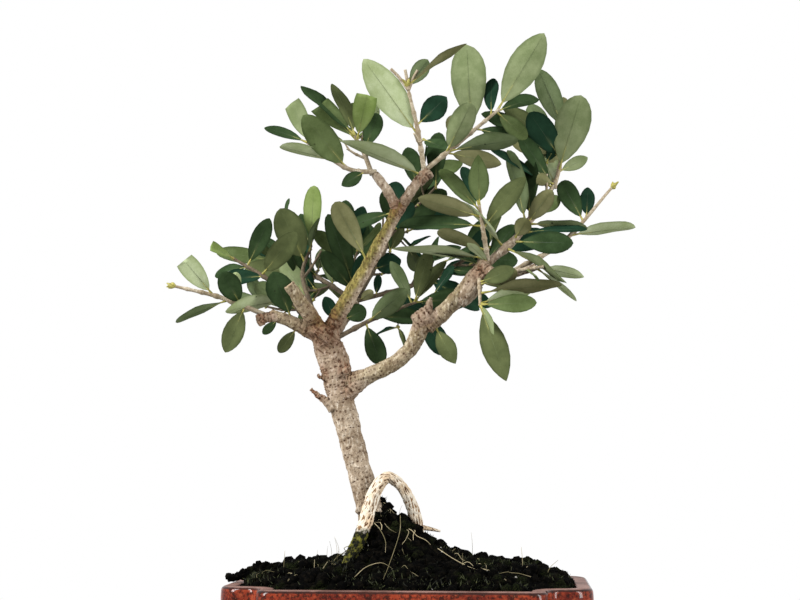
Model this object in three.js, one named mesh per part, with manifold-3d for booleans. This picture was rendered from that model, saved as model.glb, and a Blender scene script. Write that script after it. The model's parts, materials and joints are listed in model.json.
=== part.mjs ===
// An olive bonsai in a glazed rectangular pot with indented corners.
// Millimetres, +Z up. The origin is the middle of the footprint, on the surface that the pot stands on.

import * as THREE from "three";
import { mergeVertices } from "three/addons/utils/BufferGeometryUtils.js";
import Module from "manifold-3d";

const wasm = await Module();
wasm.setup();
const { degToRad, lerp } = THREE.MathUtils;

// Driving dimensions: the pot
const POT_LENGTH = 200;
const POT_DEPTH = 150;
const RIM_HEIGHT = 64;
const RIM_WIDTH = 8.5;
const LIP_HEIGHT = 12;
const LIP_PROUD = 3.5;
const WALL_SLOPE = 7;
const WALL = 6;
const FLOOR_THICKNESS = 7;
const NOTCH_LENGTH = 24;
const NOTCH_DEPTH = 22;
const OUTER_ROUND = 7;
const INNER_ROUND = 7;
const LEAST_ROUND = 1.5;
const TURN_STEPS = 2;
const BASE_CHAMFER = 3;
const LIP_COVE = 3;
const LIP_ROUND = 2;
const INNER_CHAMFER = 1.2;
const FOOT_LENGTH = 40;
const FOOT_DEPTH = 15;
const FOOT_HEIGHT = 7;
const FOOT_SET_IN = 2;
const FOOT_TAPER = 0.9;
const FOOT_SIDES = 8;
const DRAIN_RADIUS = 7;
const DRAIN_SPACING = 90;
const DRAIN_SIDES = 12;

// Driving dimensions: the soil, a low heap with a steep mound round the trunk
const SOIL_EDGE = 63;
const HEAP_RISE = 15;
const HEAP_SHOULDER = 6;
const MOUND_RISE = 24.5;
const MOUND_FLAT_LEFT = 8;
const MOUND_FLAT_RIGHT = 6;
const MOUND_FLAT_DEPTH = 8;
const MOUND_FALL_LEFT = 4.5;
const MOUND_FALL_RIGHT = 36;
const MOUND_FALL_DEPTH = 24;
const SOIL_RINGS = 12;
const SOIL_RING_BIAS = 1.6;

// Driving dimensions: the wood
const GAP = 0.3;
const TREE_TURN = degToRad(5);
const LIMB_SIDES = 8;
const LIMB_STEPS = 6;
const FLARE_HEIGHT = 0.16;
const FLARE_SPREAD = 0.34;
const FLARE_LOBES = 5;
const FLARE_DEPTH = 0.4;
const FOOT_RUN = 7;

// Driving dimensions: the twigs and the leaves
const TWIG_SIDES = 3;
const STEM_STEPS = 5;
const TWIG_STEPS = 2;
const STEM_RADIUS = 1.3;
const STEM_TIP_RADIUS = 0.8;
const STEM_SEAT = 0.55;
const TWIG_RADIUS = 0.9;
const TWIG_TIP_RADIUS = 0.6;
const LEAF_THICKNESS = 0.8;
const LEAF_ASPECT = 0.42;
const LEAF_SINK = 1.2;
const LEAF_CLEARANCE = 1.4;
const LEAF_BELLY = 0.6;

// How much room a mass has: its depth counts LAYERING times over, and leaf bellies keep CROWDING apart
const LAYERING = 2.2;
const SPACE_MARGIN = 1.2;
const BEADS = 16;
const CROWDING = 8;

// How leaf pairs grow: turns and openings in degrees, sizes as shares, each spread the range left to chance
const FLATNESS = 0.6;
const FIRST_PAIR = 0.1;
const PAIR_TURN = 80;
const PAIR_TURN_SPREAD = 40;
const LEAF_OPENING = 54;
const TIP_LEAF_OPENING = 34;
const OPENING_SPREAD = 34;
const SHORTEST_LEAF = 0.66;
const LEAF_SPREAD = 0.45;
const CURL_SPREAD = 0.16;
const CURL_OFFSET = 0.35;
const SWAY = 1.5;

// How side twigs grow from a stem
const FIRST_TWIG = 0.18;
const TWIG_RUN = 0.66;
const TWIG_TURN = 137;
const TWIG_TURN_SPREAD = 80;
const TWIG_FORWARD = 0.6;
const TWIG_OUTWARD = 0.8;
const TWIG_RISE = 0.2;
const SHORTEST_TWIG = 0.65;
const TWIG_SPREAD = 0.7;
const TWIG_SAG = 0.05;
const TWIG_PAIRS = 2;
const TWIG_LEAF = 0.85;

const BACK = new THREE.Vector3(0, 1, 0);
const UP = new THREE.Vector3(0, 0, 1);
const LIGHT = new THREE.Vector3(0.1, -0.8, 0.6);

// The wood, as stations along each limb: right of, behind and above the pot's underside centre, and radius.
// Each limb grows from inside an earlier one and is trimmed clear of it.
const LIMBS = {
  trunk: [[-22.5, 0, 99, 8.2], [-30, 0, 128, 7], [-40, 0, 166, 7.4], [-49.5, 0, 204, 8.8]],
  cut_stub: [[-50, -1, 203, 5], [-69.5, -15, 230, 3.7]],
  left_bough: [[-51, -1, 201, 5], [-66, -5, 209, 4.2], [-80, -9, 214, 3.4]],
  leader: [[-47, -1, 203, 6], [-27, -7, 238, 4.8], [-7, -12, 275, 3.3]],
  upper_left_bough: [[-7, -12, 273, 2.9], [-14, -14, 285, 2.7], [-21, -15, 294, 2.5]],
  upper_right_bough: [[-7, -12, 273, 3], [1, -11, 286, 2.9], [7, -10, 294, 2.9]],
  right_bough: [[-40, 0, 175, 5.4], [-22, -6, 180, 4.4], [-3, -8, 191, 4.3], [9, -9, 213, 5]],
  right_bough_upper: [[9, -9, 206, 4.4], [25, -8, 224, 4.2], [43, -5, 244, 4.2]],
  right_limb: [[42, -5, 242, 2.6], [58, -3, 256, 2.4], [72.5, 0, 274, 2.2]],
  right_spur: [[41, -6, 243, 2.6], [46, -13, 237, 2.8], [49, -19, 234, 3]],
  back_bough: [[-47, 2, 199, 5.2], [-42, 14, 211, 4.4], [-33, 26, 224, 3.4]],
};

// The looped surface root, split at its top into two legs that both enter the soil.
const ROOTS = {
  looped_root_left: [[-35, -21, 72, 3.8], [-26, -17, 97, 3], [-21, -14, 113, 2.8], [-14, -10, 123, 2.8]],
  looped_root_right: [[-17, -11, 122, 2.7], [-7, -8, 121, 2.7], [0, -5, 109, 2.8], [5, -2, 90, 3.2]],
};

// The foliage: each mass has one stem, from a limb's tip or from the trunk (at along, 0 foot to 1 fork).
// perch is the side of the limb that it leaves from, in degrees.
// bow is how far its middle stands off a straight line.
// roll turns its first leaf pair about the stem, and the last pair sits at the share last of the stem.
// lift raises the leaves or lets them hang, and front is the foremost depth that they may reach.
const CROWN = [
  { name: "foliage_left_low", limb: "left_bough", perch: 0, tip: [-134, -16, 229], bow: [0, 0, 2],
    pairs: 5, last: 0.86, roll: 130, lift: 0.2, leaf: 28, twigs: 2, twig: 14, seed: 27, front: -70 },
  { name: "foliage_left_high", limb: "trunk", along: 0.93, perch: 110, tip: [-104, 10, 249],
    bow: [-3, 0, 9],
    pairs: 5, last: 1, roll: -15, lift: 0.4, leaf: 27, twigs: 3, twig: 16, seed: 17, front: -2 },
  { name: "foliage_left_crest", limb: "trunk", along: 0.97, perch: 80, tip: [-59, 20, 258], bow: [-9, 4, 8],
    pairs: 4, last: 1, roll: 60, lift: 0.6, leaf: 32, twigs: 3, twig: 18, seed: 41, front: -1 },
  { name: "foliage_centre_low", limb: "trunk", along: 0.94, perch: 30, tip: [3, 18, 224], bow: [2, 2, 3],
    pairs: 4, last: 1, roll: 110, lift: 0.4, leaf: 31, twigs: 3, twig: 18, seed: 11, front: 0 },
  { name: "foliage_upper_left", limb: "upper_left_bough", perch: 0, tip: [-32, -14, 316], bow: [0, 0, 2],
    pairs: 3, last: 1, roll: -25, lift: 0.4, leaf: 30, twigs: 2, twig: 14, seed: 80, front: -70 },
  { name: "foliage_upper_left_outer", limb: "upper_left_bough", perch: 180, tip: [-58, -32, 308],
    bow: [3, 2, -6],
    pairs: 4, last: 1, roll: 25, lift: 0.4, leaf: 34, twigs: 3, twig: 14, seed: 24, front: -70 },
  { name: "foliage_apex_left", limb: "upper_right_bough", perch: 180, tip: [-2, -20, 344], bow: [1, 0, 0],
    pairs: 4, last: 0.9, roll: -65, lift: -0.2, leaf: 44, twigs: 2, twig: 14, seed: 59, front: -70 },
  { name: "foliage_apex", limb: "upper_right_bough", perch: 0, tip: [51, -14, 332], bow: [0, 1, 0],
    pairs: 5, last: 1, roll: -180, lift: 0.4, leaf: 46, twigs: 3, twig: 20, seed: 128, front: -70 },
  { name: "foliage_right_crest", limb: "right_bough_upper", perch: 180, tip: [39, -14, 276], bow: [0, 0, 0],
    pairs: 5, last: 1, roll: -60, lift: 0.2, leaf: 34, twigs: 4, twig: 20, seed: 63, front: -70 },
  { name: "foliage_upper_right", limb: "right_limb", perch: 0, tip: [93, 22, 328], bow: [4, 4, -5],
    pairs: 5, last: 1, roll: -20, lift: 0.4, leaf: 44, twigs: 4, twig: 22, seed: 38, front: -70 },
  { name: "foliage_right", limb: "right_spur", perch: 90, tip: [118, 4, 290], bow: [3, 0, -6],
    pairs: 5, last: 0.62, roll: -145, lift: 0, leaf: 36, twigs: 3, twig: 18, seed: 74, front: -70 },
  { name: "foliage_right_front", limb: "right_spur", perch: 330, tip: [74, -30, 238], bow: [0, 0, 0],
    pairs: 5, last: 1, roll: 100, lift: -0.2, leaf: 35, twigs: 3, twig: 16, seed: 55, front: -70 },
  { name: "foliage_right_low", limb: "right_spur", perch: 210, tip: [42, -26, 217], bow: [0, -2, 2],
    pairs: 2, last: 1, roll: -110, lift: -0.2, leaf: 42, twigs: 1, twig: 12, seed: 1, front: -70 },
  { name: "foliage_centre", limb: "back_bough", perch: 180, tip: [-40, 32, 260], bow: [0, 2, 0],
    pairs: 5, last: 1, roll: -80, lift: 0.5, leaf: 32, twigs: 4, twig: 18, seed: 7, front: 3 },
  { name: "foliage_back_left", limb: "back_bough", perch: 270, tip: [-84, 58, 254], bow: [0, 4, 4],
    pairs: 5, last: 1, roll: -10, lift: 0.2, leaf: 34, twigs: 3, twig: 20, seed: 58, front: 3 },
  { name: "foliage_back_high", limb: "back_bough", perch: 90, tip: [4, 54, 300], bow: [0, 6, 0],
    pairs: 5, last: 1, roll: -170, lift: 0.4, leaf: 36, twigs: 4, twig: 22, seed: 44, front: 3 },
  { name: "foliage_back_right", limb: "back_bough", perch: 0, tip: [48, 50, 262], bow: [0, 6, -4],
    pairs: 6, last: 1, roll: -170, lift: 0.2, leaf: 36, twigs: 4, twig: 24, seed: 76, front: 3 },
];

// Joining and cutting
function solidOf(geometry) {
  const bare = geometry.clone();
  bare.deleteAttribute("normal");
  bare.deleteAttribute("uv");
  const merged = mergeVertices(bare, 1e-4);
  const vertProperties = new Float32Array(merged.attributes.position.array);
  const triVerts = new Uint32Array(merged.index.array);
  return new wasm.Manifold(new wasm.Mesh({ numProp: 3, vertProperties, triVerts }));
}

function joined(solids) {
  return solids.reduce((whole, piece) => whole.add(piece));
}

// The largest closed shell of a solid: loose scraps go and sealed hollows are filled.
function soundBody(solid) {
  const bodies = solid.decompose();
  return bodies.reduce((best, body) => (body.volume() > best.volume() ? body : best));
}

function meshOf(name, solid, colour, roughness) {
  const { vertProperties, triVerts } = soundBody(solid).getMesh();
  const geometry = new THREE.BufferGeometry();
  geometry.setAttribute("position", new THREE.BufferAttribute(new Float32Array(vertProperties), 3));
  geometry.setIndex(new THREE.BufferAttribute(new Uint32Array(triVerts), 1));
  geometry.computeVertexNormals();
  const material = new THREE.MeshStandardMaterial({ color: colour, roughness, metalness: 0 });
  const mesh = new THREE.Mesh(geometry, material);
  mesh.name = name;
  return mesh;
}

// Random numbers that are the same on every run.
function seeded(seed) {
  let state = seed * 104729 + 7;
  return () => {
    state = (state * 16807) % 2147483647;
    return state / 2147483647;
  };
}

// The pot's plan, drawn in by inset: a rectangle whose four corners are stepped in, with rounded turns.
function potPlan(inset) {
  const length = POT_LENGTH / 2 - inset;
  const depth = POT_DEPTH / 2 - inset;
  const round = Math.max(OUTER_ROUND - inset, LEAST_ROUND);
  const hollow = Math.min(INNER_ROUND + inset, NOTCH_DEPTH - 2 * LEAST_ROUND);
  const notchX = length - NOTCH_LENGTH;
  const notchY = depth - NOTCH_DEPTH;
  const turns = [
    { x: length - round, y: notchY - round, radius: round, from: 0, to: 90 },
    { x: notchX + hollow, y: notchY + hollow, radius: hollow, from: 270, to: 180 },
    { x: notchX - round, y: depth - round, radius: round, from: 0, to: 90 },
  ];
  const quarter = turns.flatMap(({ x, y, radius, from, to }) => {
    const arc = new THREE.EllipseCurve(x, y, radius, radius, degToRad(from), degToRad(to), to < from);
    return arc.getPoints(TURN_STEPS);
  });
  const half = [...quarter, ...quarter.map(({ x, y }) => new THREE.Vector2(-x, y)).reverse()];
  return [...half, ...half.map(({ x, y }) => new THREE.Vector2(-x, -y))];
}

// A lathe profile pressed into the pot's plan: place gives each ring point where it goes.
function pressed(profile, segments, place) {
  const geometry = new THREE.LatheGeometry(profile, segments);
  const position = geometry.attributes.position;
  for (let k = 0; k < position.count; k += 1) {
    const around = Math.floor(k / profile.length) % segments;
    const spot = place(profile[k % profile.length], around, k % profile.length);
    position.setXYZ(k, spot.x, spot.y, spot.z);
  }
  return geometry;
}

const PLAN_POINTS = potPlan(0).length;
const INNER_FLOOR = FOOT_HEIGHT + FLOOR_THICKNESS;

function potSolid() {
  const reach = POT_LENGTH / 2;
  const foot = reach - LIP_PROUD - WALL_SLOPE;
  const lipFoot = RIM_HEIGHT - LIP_HEIGHT;
  const profile = [
    [0, FOOT_HEIGHT],
    [foot - BASE_CHAMFER, FOOT_HEIGHT],
    [foot, FOOT_HEIGHT + BASE_CHAMFER],
    [reach - LIP_PROUD, lipFoot - LIP_COVE],
    [reach - LIP_ROUND / 2, lipFoot],
    [reach, lipFoot + LIP_COVE],
    [reach, RIM_HEIGHT - LIP_ROUND],
    [reach - LIP_ROUND, RIM_HEIGHT],
    [reach - RIM_WIDTH, RIM_HEIGHT],
    [reach - RIM_WIDTH - INNER_CHAMFER, RIM_HEIGHT - INNER_CHAMFER],
    [foot - WALL, INNER_FLOOR],
    [0, INNER_FLOOR],
  ].map(([x, z]) => new THREE.Vector2(x, z));
  const rings = profile.map((point) => potPlan(reach - point.x));
  const bowl = pressed(profile, PLAN_POINTS, (point, around, ring) => {
    if (point.x === 0) return { x: 0, y: 0, z: point.y };
    return { x: rings[ring][around].x, y: rings[ring][around].y, z: point.y };
  });
  let pot = solidOf(bowl);
  const footX = POT_LENGTH / 2 - NOTCH_LENGTH - LIP_PROUD - WALL_SLOPE - FOOT_LENGTH / 2;
  const footY = POT_DEPTH / 2 - LIP_PROUD - WALL_SLOPE - FOOT_DEPTH / 2 - FOOT_SET_IN;
  const footTop = FOOT_HEIGHT + FLOOR_THICKNESS / 2;
  for (const right of [-1, 1]) {
    for (const back of [-1, 1]) {
      const peg = new THREE.CylinderGeometry(1, FOOT_TAPER, footTop, FOOT_SIDES).rotateX(Math.PI / 2);
      peg.scale(FOOT_LENGTH / 2, FOOT_DEPTH / 2, 1);
      peg.translate(right * footX, back * footY, footTop / 2);
      pot = pot.add(solidOf(peg));
    }
    const drain = new THREE.CylinderGeometry(DRAIN_RADIUS, DRAIN_RADIUS, RIM_HEIGHT, DRAIN_SIDES);
    drain.rotateX(Math.PI / 2).translate((right * DRAIN_SPACING) / 2, 0, INNER_FLOOR + GAP - RIM_HEIGHT / 2);
    pot = pot.subtract(solidOf(drain));
  }
  return pot;
}

// A limb's path through its stations, its thickness along it, and the two directions across it.
function pathOf(stations) {
  const points = stations.map(([x, y, z]) => new THREE.Vector3(x, y, z));
  return new THREE.CatmullRomCurve3(points, false, "catmullrom", 0.5);
}

function radiusAlong(stations, along) {
  const place = along * (stations.length - 1);
  const index = Math.min(Math.floor(place), stations.length - 2);
  return lerp(stations[index][3], stations[index + 1][3], place - index);
}

function across(path, along) {
  const tangent = path.getTangent(along);
  const side = new THREE.Vector3().crossVectors(tangent, BACK).normalize();
  const front = new THREE.Vector3().crossVectors(side, tangent);
  return { tangent, side, front };
}

// A round tapering limb. flare spreads its foot in lobes, and grow makes the larger copy that clears a gap.
function limbSolid(stations, { sides = LIMB_SIDES, steps = LIMB_STEPS, flare = 0, grow = 0 } = {}) {
  const path = pathOf(stations);
  const geometry = new THREE.CylinderGeometry(1, 1, 1, sides, steps);
  const position = geometry.attributes.position;
  const frames = Array.from({ length: steps + 1 }, (_, step) => across(path, step / steps));
  for (let k = 0; k < position.count; k += 1) {
    const along = position.getY(k) + 0.5;
    const { tangent, side, front } = frames[Math.round(along * steps)];
    const angle = Math.atan2(position.getZ(k), position.getX(k));
    const lobes = 1 - FLARE_DEPTH * (1 - Math.cos(FLARE_LOBES * angle));
    const spread = 1 + flare * lobes * Math.exp(-along / FLARE_HEIGHT);
    const radius = radiusAlong(stations, along) * spread + grow;
    const spot = path.getPoint(along);
    spot.addScaledVector(side, radius * position.getX(k));
    spot.addScaledVector(front, radius * position.getZ(k));
    if (along === 0) spot.addScaledVector(tangent, -grow);
    if (along === 1) spot.addScaledVector(tangent, grow);
    position.setXYZ(k, spot.x, spot.y, spot.z);
  }
  return solidOf(geometry.rotateZ(TREE_TURN));
}

// The trunk's foot is cut level, so its lowest ring lies flat on its seat.
function trunkSolid(grow) {
  const [foot, above] = LIMBS.trunk;
  const run = FOOT_RUN / (above[2] - foot[2]);
  const rooted = [foot.map((value, axis) => lerp(value, above[axis], -run)), ...LIMBS.trunk];
  const reach = foot[3] * 5;
  const below = new THREE.BoxGeometry(reach, reach, reach);
  below.translate(foot[0], foot[1], foot[2] - grow - reach / 2);
  const whole = limbSolid(rooted, { steps: LIMB_STEPS + rooted.length, flare: FLARE_SPREAD, grow });
  return whole.subtract(solidOf(below.rotateZ(TREE_TURN)));
}

// The surface of the soil, by place in the tree's own directions.
const MOUND = LIMBS.trunk[0];

function beyond(distance, flat, fall) {
  return Math.max(Math.abs(distance) - flat, 0) / fall;
}

function soilHeight(spot, outward) {
  const x = spot.x * Math.cos(TREE_TURN) + spot.y * Math.sin(TREE_TURN) - MOUND[0];
  const y = spot.y * Math.cos(TREE_TURN) - spot.x * Math.sin(TREE_TURN) - MOUND[1];
  const [flat, fall] = x < 0 ? [MOUND_FLAT_LEFT, MOUND_FALL_LEFT] : [MOUND_FLAT_RIGHT, MOUND_FALL_RIGHT];
  const sideways = beyond(x, flat, fall);
  const depthways = beyond(y, MOUND_FLAT_DEPTH, MOUND_FALL_DEPTH);
  const mound = MOUND_RISE * Math.exp(-(sideways * sideways + depthways * depthways));
  return SOIL_EDGE + HEAP_RISE * (1 - outward ** HEAP_SHOULDER) + mound;
}

// Rings of the heap, closer together towards the mound.
function soilSolid(planted) {
  const top = potPlan(RIM_WIDTH + INNER_CHAMFER + GAP * 2);
  const bottom = potPlan(LIP_PROUD + WALL_SLOPE + WALL + GAP * 2);
  const floor = [0, 1].map((share) => new THREE.Vector2(share, INNER_FLOOR + GAP));
  const heapRings = Array.from({ length: SOIL_RINGS }, (_, ring) => {
    return new THREE.Vector2((1 - ring / (SOIL_RINGS - 1)) ** SOIL_RING_BIAS, SOIL_EDGE);
  });
  const profile = [...floor, ...heapRings];
  const centre = new THREE.Vector2(MOUND[0], MOUND[1]).rotateAround(new THREE.Vector2(), TREE_TURN);
  const heap = pressed(profile, PLAN_POINTS, (point, around, ring) => {
    const low = ring < floor.length;
    const spot = centre.clone().lerp(low ? bottom[around] : top[around], point.x);
    const z = low ? point.y : soilHeight(spot, point.x);
    return { x: spot.x, y: spot.y, z };
  });
  return planted.reduce((soil, piece) => soil.subtract(piece), solidOf(heap));
}

// Foliage: where each mass's stem runs
function stemStations(mass) {
  const limb = LIMBS[mass.limb];
  const along = mass.along ?? 1;
  const path = pathOf(limb);
  const { side, front } = across(path, along);
  const angle = degToRad(mass.perch);
  const offset = radiusAlong(limb, along) * STEM_SEAT;
  const start = path.getPoint(along);
  start.addScaledVector(side, offset * Math.cos(angle));
  start.addScaledVector(front, offset * Math.sin(angle));
  const tip = new THREE.Vector3(...mass.tip);
  const middle = start.clone().lerp(tip, 0.5).add(new THREE.Vector3(...mass.bow));
  const halfway = (STEM_RADIUS + STEM_TIP_RADIUS) / 2;
  return [
    [...start.toArray(), STEM_RADIUS],
    [...middle.toArray(), halfway],
    [...tip.toArray(), STEM_TIP_RADIUS],
  ];
}

const STEMS = CROWN.map(stemStations);
const STEM_BEADS = STEMS.map((stations) => pathOf(stations).getPoints(BEADS));
const LIMB_BEADS = Object.values(LIMBS).flatMap((stations) => {
  return pathOf(stations).getPoints(BEADS).map((spot, bead) => {
    return { spot, radius: radiusAlong(stations, bead / BEADS) };
  });
});

// Distance to a stem, counted longer through the depth, so that the masses lie in upright layers.
function farFrom(spot, beads) {
  let least = Infinity;
  for (const bead of beads) {
    least = Math.min(least, Math.hypot(spot.x - bead.x, LAYERING * (spot.y - bead.y), spot.z - bead.z));
  }
  return least;
}

// A spot is in a mass's own space when it lies nearer to that mass's stem than to any other stem.
function inSpace(spot, mass) {
  if (spot.y < CROWN[mass].front) return false;
  const own = farFrom(spot, STEM_BEADS[mass]);
  return STEM_BEADS.every((beads, other) => other === mass || farFrom(spot, beads) > own + SPACE_MARGIN);
}

function clearOfWood(spot) {
  return LIMB_BEADS.every((bead) => bead.spot.distanceTo(spot) > bead.radius + LEAF_CLEARANCE);
}

// A leaf: share of its length and share of its half width at its root, petiole, belly, shoulder and tip.
const LEAF_OUTLINE = [[0, 0], [0.13, 0.14], [0.5, 1], [0.83, 0.78], [1, 0]];
const LEAF_FEELERS = [0.25, 0.4, 0.55, 0.7, 0.85, 1];
const LEAF_BREADTHS = [-1, -0.5, 0, 0.5, 1];

function leafSpot(leaf, share, width, lift) {
  const spot = leaf.root.clone();
  spot.addScaledVector(leaf.axis, share * leaf.length);
  spot.addScaledVector(leaf.across, (width * leaf.length * LEAF_ASPECT) / 2);
  spot.addScaledVector(leaf.face, lift - leaf.curl * share * share * leaf.length);
  return spot;
}

// A three-sided spindle pressed into a blade: two edges and a keel under its midrib.
function leafSolid(leaf) {
  const geometry = new THREE.SphereGeometry(1, 3, LEAF_OUTLINE.length - 1);
  const position = geometry.attributes.position;
  for (let k = 0; k < position.count; k += 1) {
    const ring = Math.round((Math.acos(-position.getY(k)) / Math.PI) * (LEAF_OUTLINE.length - 1));
    const [share, width] = LEAF_OUTLINE[ring];
    const keel = position.getX(k) < -1e-6;
    const lift = keel && width > 0 ? -LEAF_THICKNESS : 0;
    const spot = leafSpot(leaf, share, width * (keel ? 0 : Math.sign(position.getZ(k))), lift);
    position.setXYZ(k, spot.x, spot.y, spot.z);
  }
  return solidOf(geometry.rotateZ(TREE_TURN));
}

function leafFits(leaf, mass) {
  return LEAF_FEELERS.every((share) => {
    return (share === 1 ? [0] : LEAF_BREADTHS).every((width) => {
      const spot = leafSpot(leaf, share, width, 0);
      return inSpace(spot, mass) && clearOfWood(spot);
    });
  });
}

// A direction out from a shoot, pressed towards the plane in which the crown is trained.
function outwardFrom({ side, front }, degrees) {
  const turn = degToRad(degrees);
  const outward = side.clone().multiplyScalar(Math.cos(turn)).addScaledVector(front, Math.sin(turn));
  outward.y *= FLATNESS;
  return outward.normalize();
}

// Opposite leaf pairs along a shoot, each pair turned across the last, their faces turned to the light.
function leafPairs({ path, pairs, roll, lift, leaf, first, last }, random) {
  const leaves = [];
  for (let pair = 0; pair < pairs; pair += 1) {
    const along = lerp(first, last, (pair + 1) / pairs);
    const frame = across(path, along);
    for (const hand of [0, 180]) {
      const turn = roll + PAIR_TURN * pair + hand + PAIR_TURN_SPREAD * (random() - 0.5);
      const outward = outwardFrom(frame, turn);
      const opening = pair === pairs - 1 ? TIP_LEAF_OPENING : LEAF_OPENING;
      const open = degToRad(opening + OPENING_SPREAD * (random() - 0.5));
      const axis = frame.tangent.clone().multiplyScalar(Math.cos(open));
      axis.addScaledVector(outward, Math.sin(open)).addScaledVector(UP, lift).normalize();
      const length = leaf * (SHORTEST_LEAF + LEAF_SPREAD * random());
      const curl = CURL_SPREAD * (random() - CURL_OFFSET);
      const sway = new THREE.Vector3(random() - 0.5, random() - 0.5, random() - 0.5);
      const face = LIGHT.clone().addScaledVector(sway, SWAY);
      face.addScaledVector(axis, -face.dot(axis)).normalize();
      const root = path.getPoint(along).addScaledVector(axis, -LEAF_SINK);
      leaves.push({ root, axis, face, across: new THREE.Vector3().crossVectors(face, axis), length, curl });
    }
  }
  return leaves;
}

// Side twigs leave the stem by turns, at a seeded slant and length.
function sideTwigs(path, mass, random) {
  return Array.from({ length: mass.twigs }, (_, number) => {
    const along = FIRST_TWIG + TWIG_RUN * ((number + 0.5) / mass.twigs);
    const frame = across(path, along);
    const turn = mass.roll + TWIG_TURN * number + TWIG_TURN_SPREAD * (random() - 0.5);
    const outward = outwardFrom(frame, turn);
    const heading = frame.tangent.clone().multiplyScalar(TWIG_FORWARD);
    heading.addScaledVector(outward, TWIG_OUTWARD).addScaledVector(UP, TWIG_RISE).normalize();
    const length = mass.twig * (SHORTEST_TWIG + TWIG_SPREAD * random());
    const start = path.getPoint(along);
    const tip = start.clone().addScaledVector(heading, length);
    const middle = start.clone().lerp(tip, 0.5).addScaledVector(UP, -TWIG_SAG * length);
    return [
      [...start.toArray(), TWIG_RADIUS],
      [...middle.toArray(), TWIG_RADIUS],
      [...tip.toArray(), TWIG_TIP_RADIUS],
    ];
  });
}

// Everything that grows in one mass's space: its side twigs and its leaves.
function grow(mass, index) {
  const random = seeded(mass.seed);
  const stem = pathOf(STEMS[index]);
  const twigs = [];
  const shoots = [{ ...mass, path: stem, first: FIRST_PAIR }];
  for (const stations of sideTwigs(stem, mass, random)) {
    const path = pathOf(stations);
    const roll = 360 * random();
    const outerHalf = [0.5, 0.75, 1].map((along) => path.getPoint(along));
    if (!outerHalf.every((spot) => inSpace(spot, index) && clearOfWood(spot))) continue;
    twigs.push(stations);
    shoots.push({ ...mass, path, pairs: TWIG_PAIRS, roll, leaf: TWIG_LEAF * mass.leaf, first: 0, last: 1 });
  }
  const leaves = [];
  for (const leaf of shoots.flatMap((shoot) => leafPairs(shoot, random))) {
    const belly = leafSpot(leaf, LEAF_BELLY, 0, 0);
    const crowded = leaves.some((other) => leafSpot(other, LEAF_BELLY, 0, 0).distanceTo(belly) < CROWDING);
    if (!crowded && leafFits(leaf, index)) leaves.push(leaf);
  }
  return { twigs, leaves };
}

function stemSolid(index, grow) {
  return limbSolid(STEMS[index], { sides: TWIG_SIDES, steps: STEM_STEPS, grow });
}

function foliageSolid(mass, index) {
  const { twigs, leaves } = grow(mass, index);
  const stem = stemSolid(index, 0);
  const wood = twigs.map((stations) => limbSolid(stations, { sides: TWIG_SIDES, steps: TWIG_STEPS }));
  return joined([stem, ...wood, ...leaves.map(leafSolid)]);
}

// Putting it together
const POT_COLOUR = 0x8a3a22;
const SOIL_COLOUR = 0x1c1712;
const BARK_COLOUR = 0xa8957c;
const LEAF_COLOUR = 0x5c6b48;

const bonsai = new THREE.Group();

// Each limb's or stem's copy, larger by the gap, that its neighbours are cut with.
const grown = { trunk: trunkSolid(GAP) };
for (const [name, stations] of Object.entries({ ...LIMBS, ...ROOTS })) {
  if (name !== "trunk") grown[name] = limbSolid(stations, { grow: GAP });
}

const planted = [grown.trunk, ...Object.keys(ROOTS).map((name) => grown[name])];
bonsai.add(meshOf("pot", potSolid(), POT_COLOUR, 0.25));
bonsai.add(meshOf("soil", soilSolid(planted), SOIL_COLOUR, 0.95));
bonsai.add(meshOf("trunk", trunkSolid(0), BARK_COLOUR, 0.85));

const made = ["trunk"];
for (const [name, stations] of Object.entries({ ...LIMBS, ...ROOTS })) {
  if (name === "trunk") continue;
  const solid = made.reduce((limb, earlier) => limb.subtract(grown[earlier]), limbSolid(stations));
  bonsai.add(meshOf(name, solid, BARK_COLOUR, 0.85));
  made.push(name);
}

CROWN.forEach((mass, index) => {
  const solid = made.reduce((foliage, earlier) => foliage.subtract(grown[earlier]), foliageSolid(mass, index));
  bonsai.add(meshOf(mass.name, solid, LEAF_COLOUR, 0.6));
  grown[mass.name] = stemSolid(index, GAP);
  made.push(mass.name);
});

const box = new THREE.Box3().setFromObject(bonsai);
const middle = box.getCenter(new THREE.Vector3());
bonsai.position.set(-middle.x, -middle.y, -box.min.z);

export default bonsai;
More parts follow.
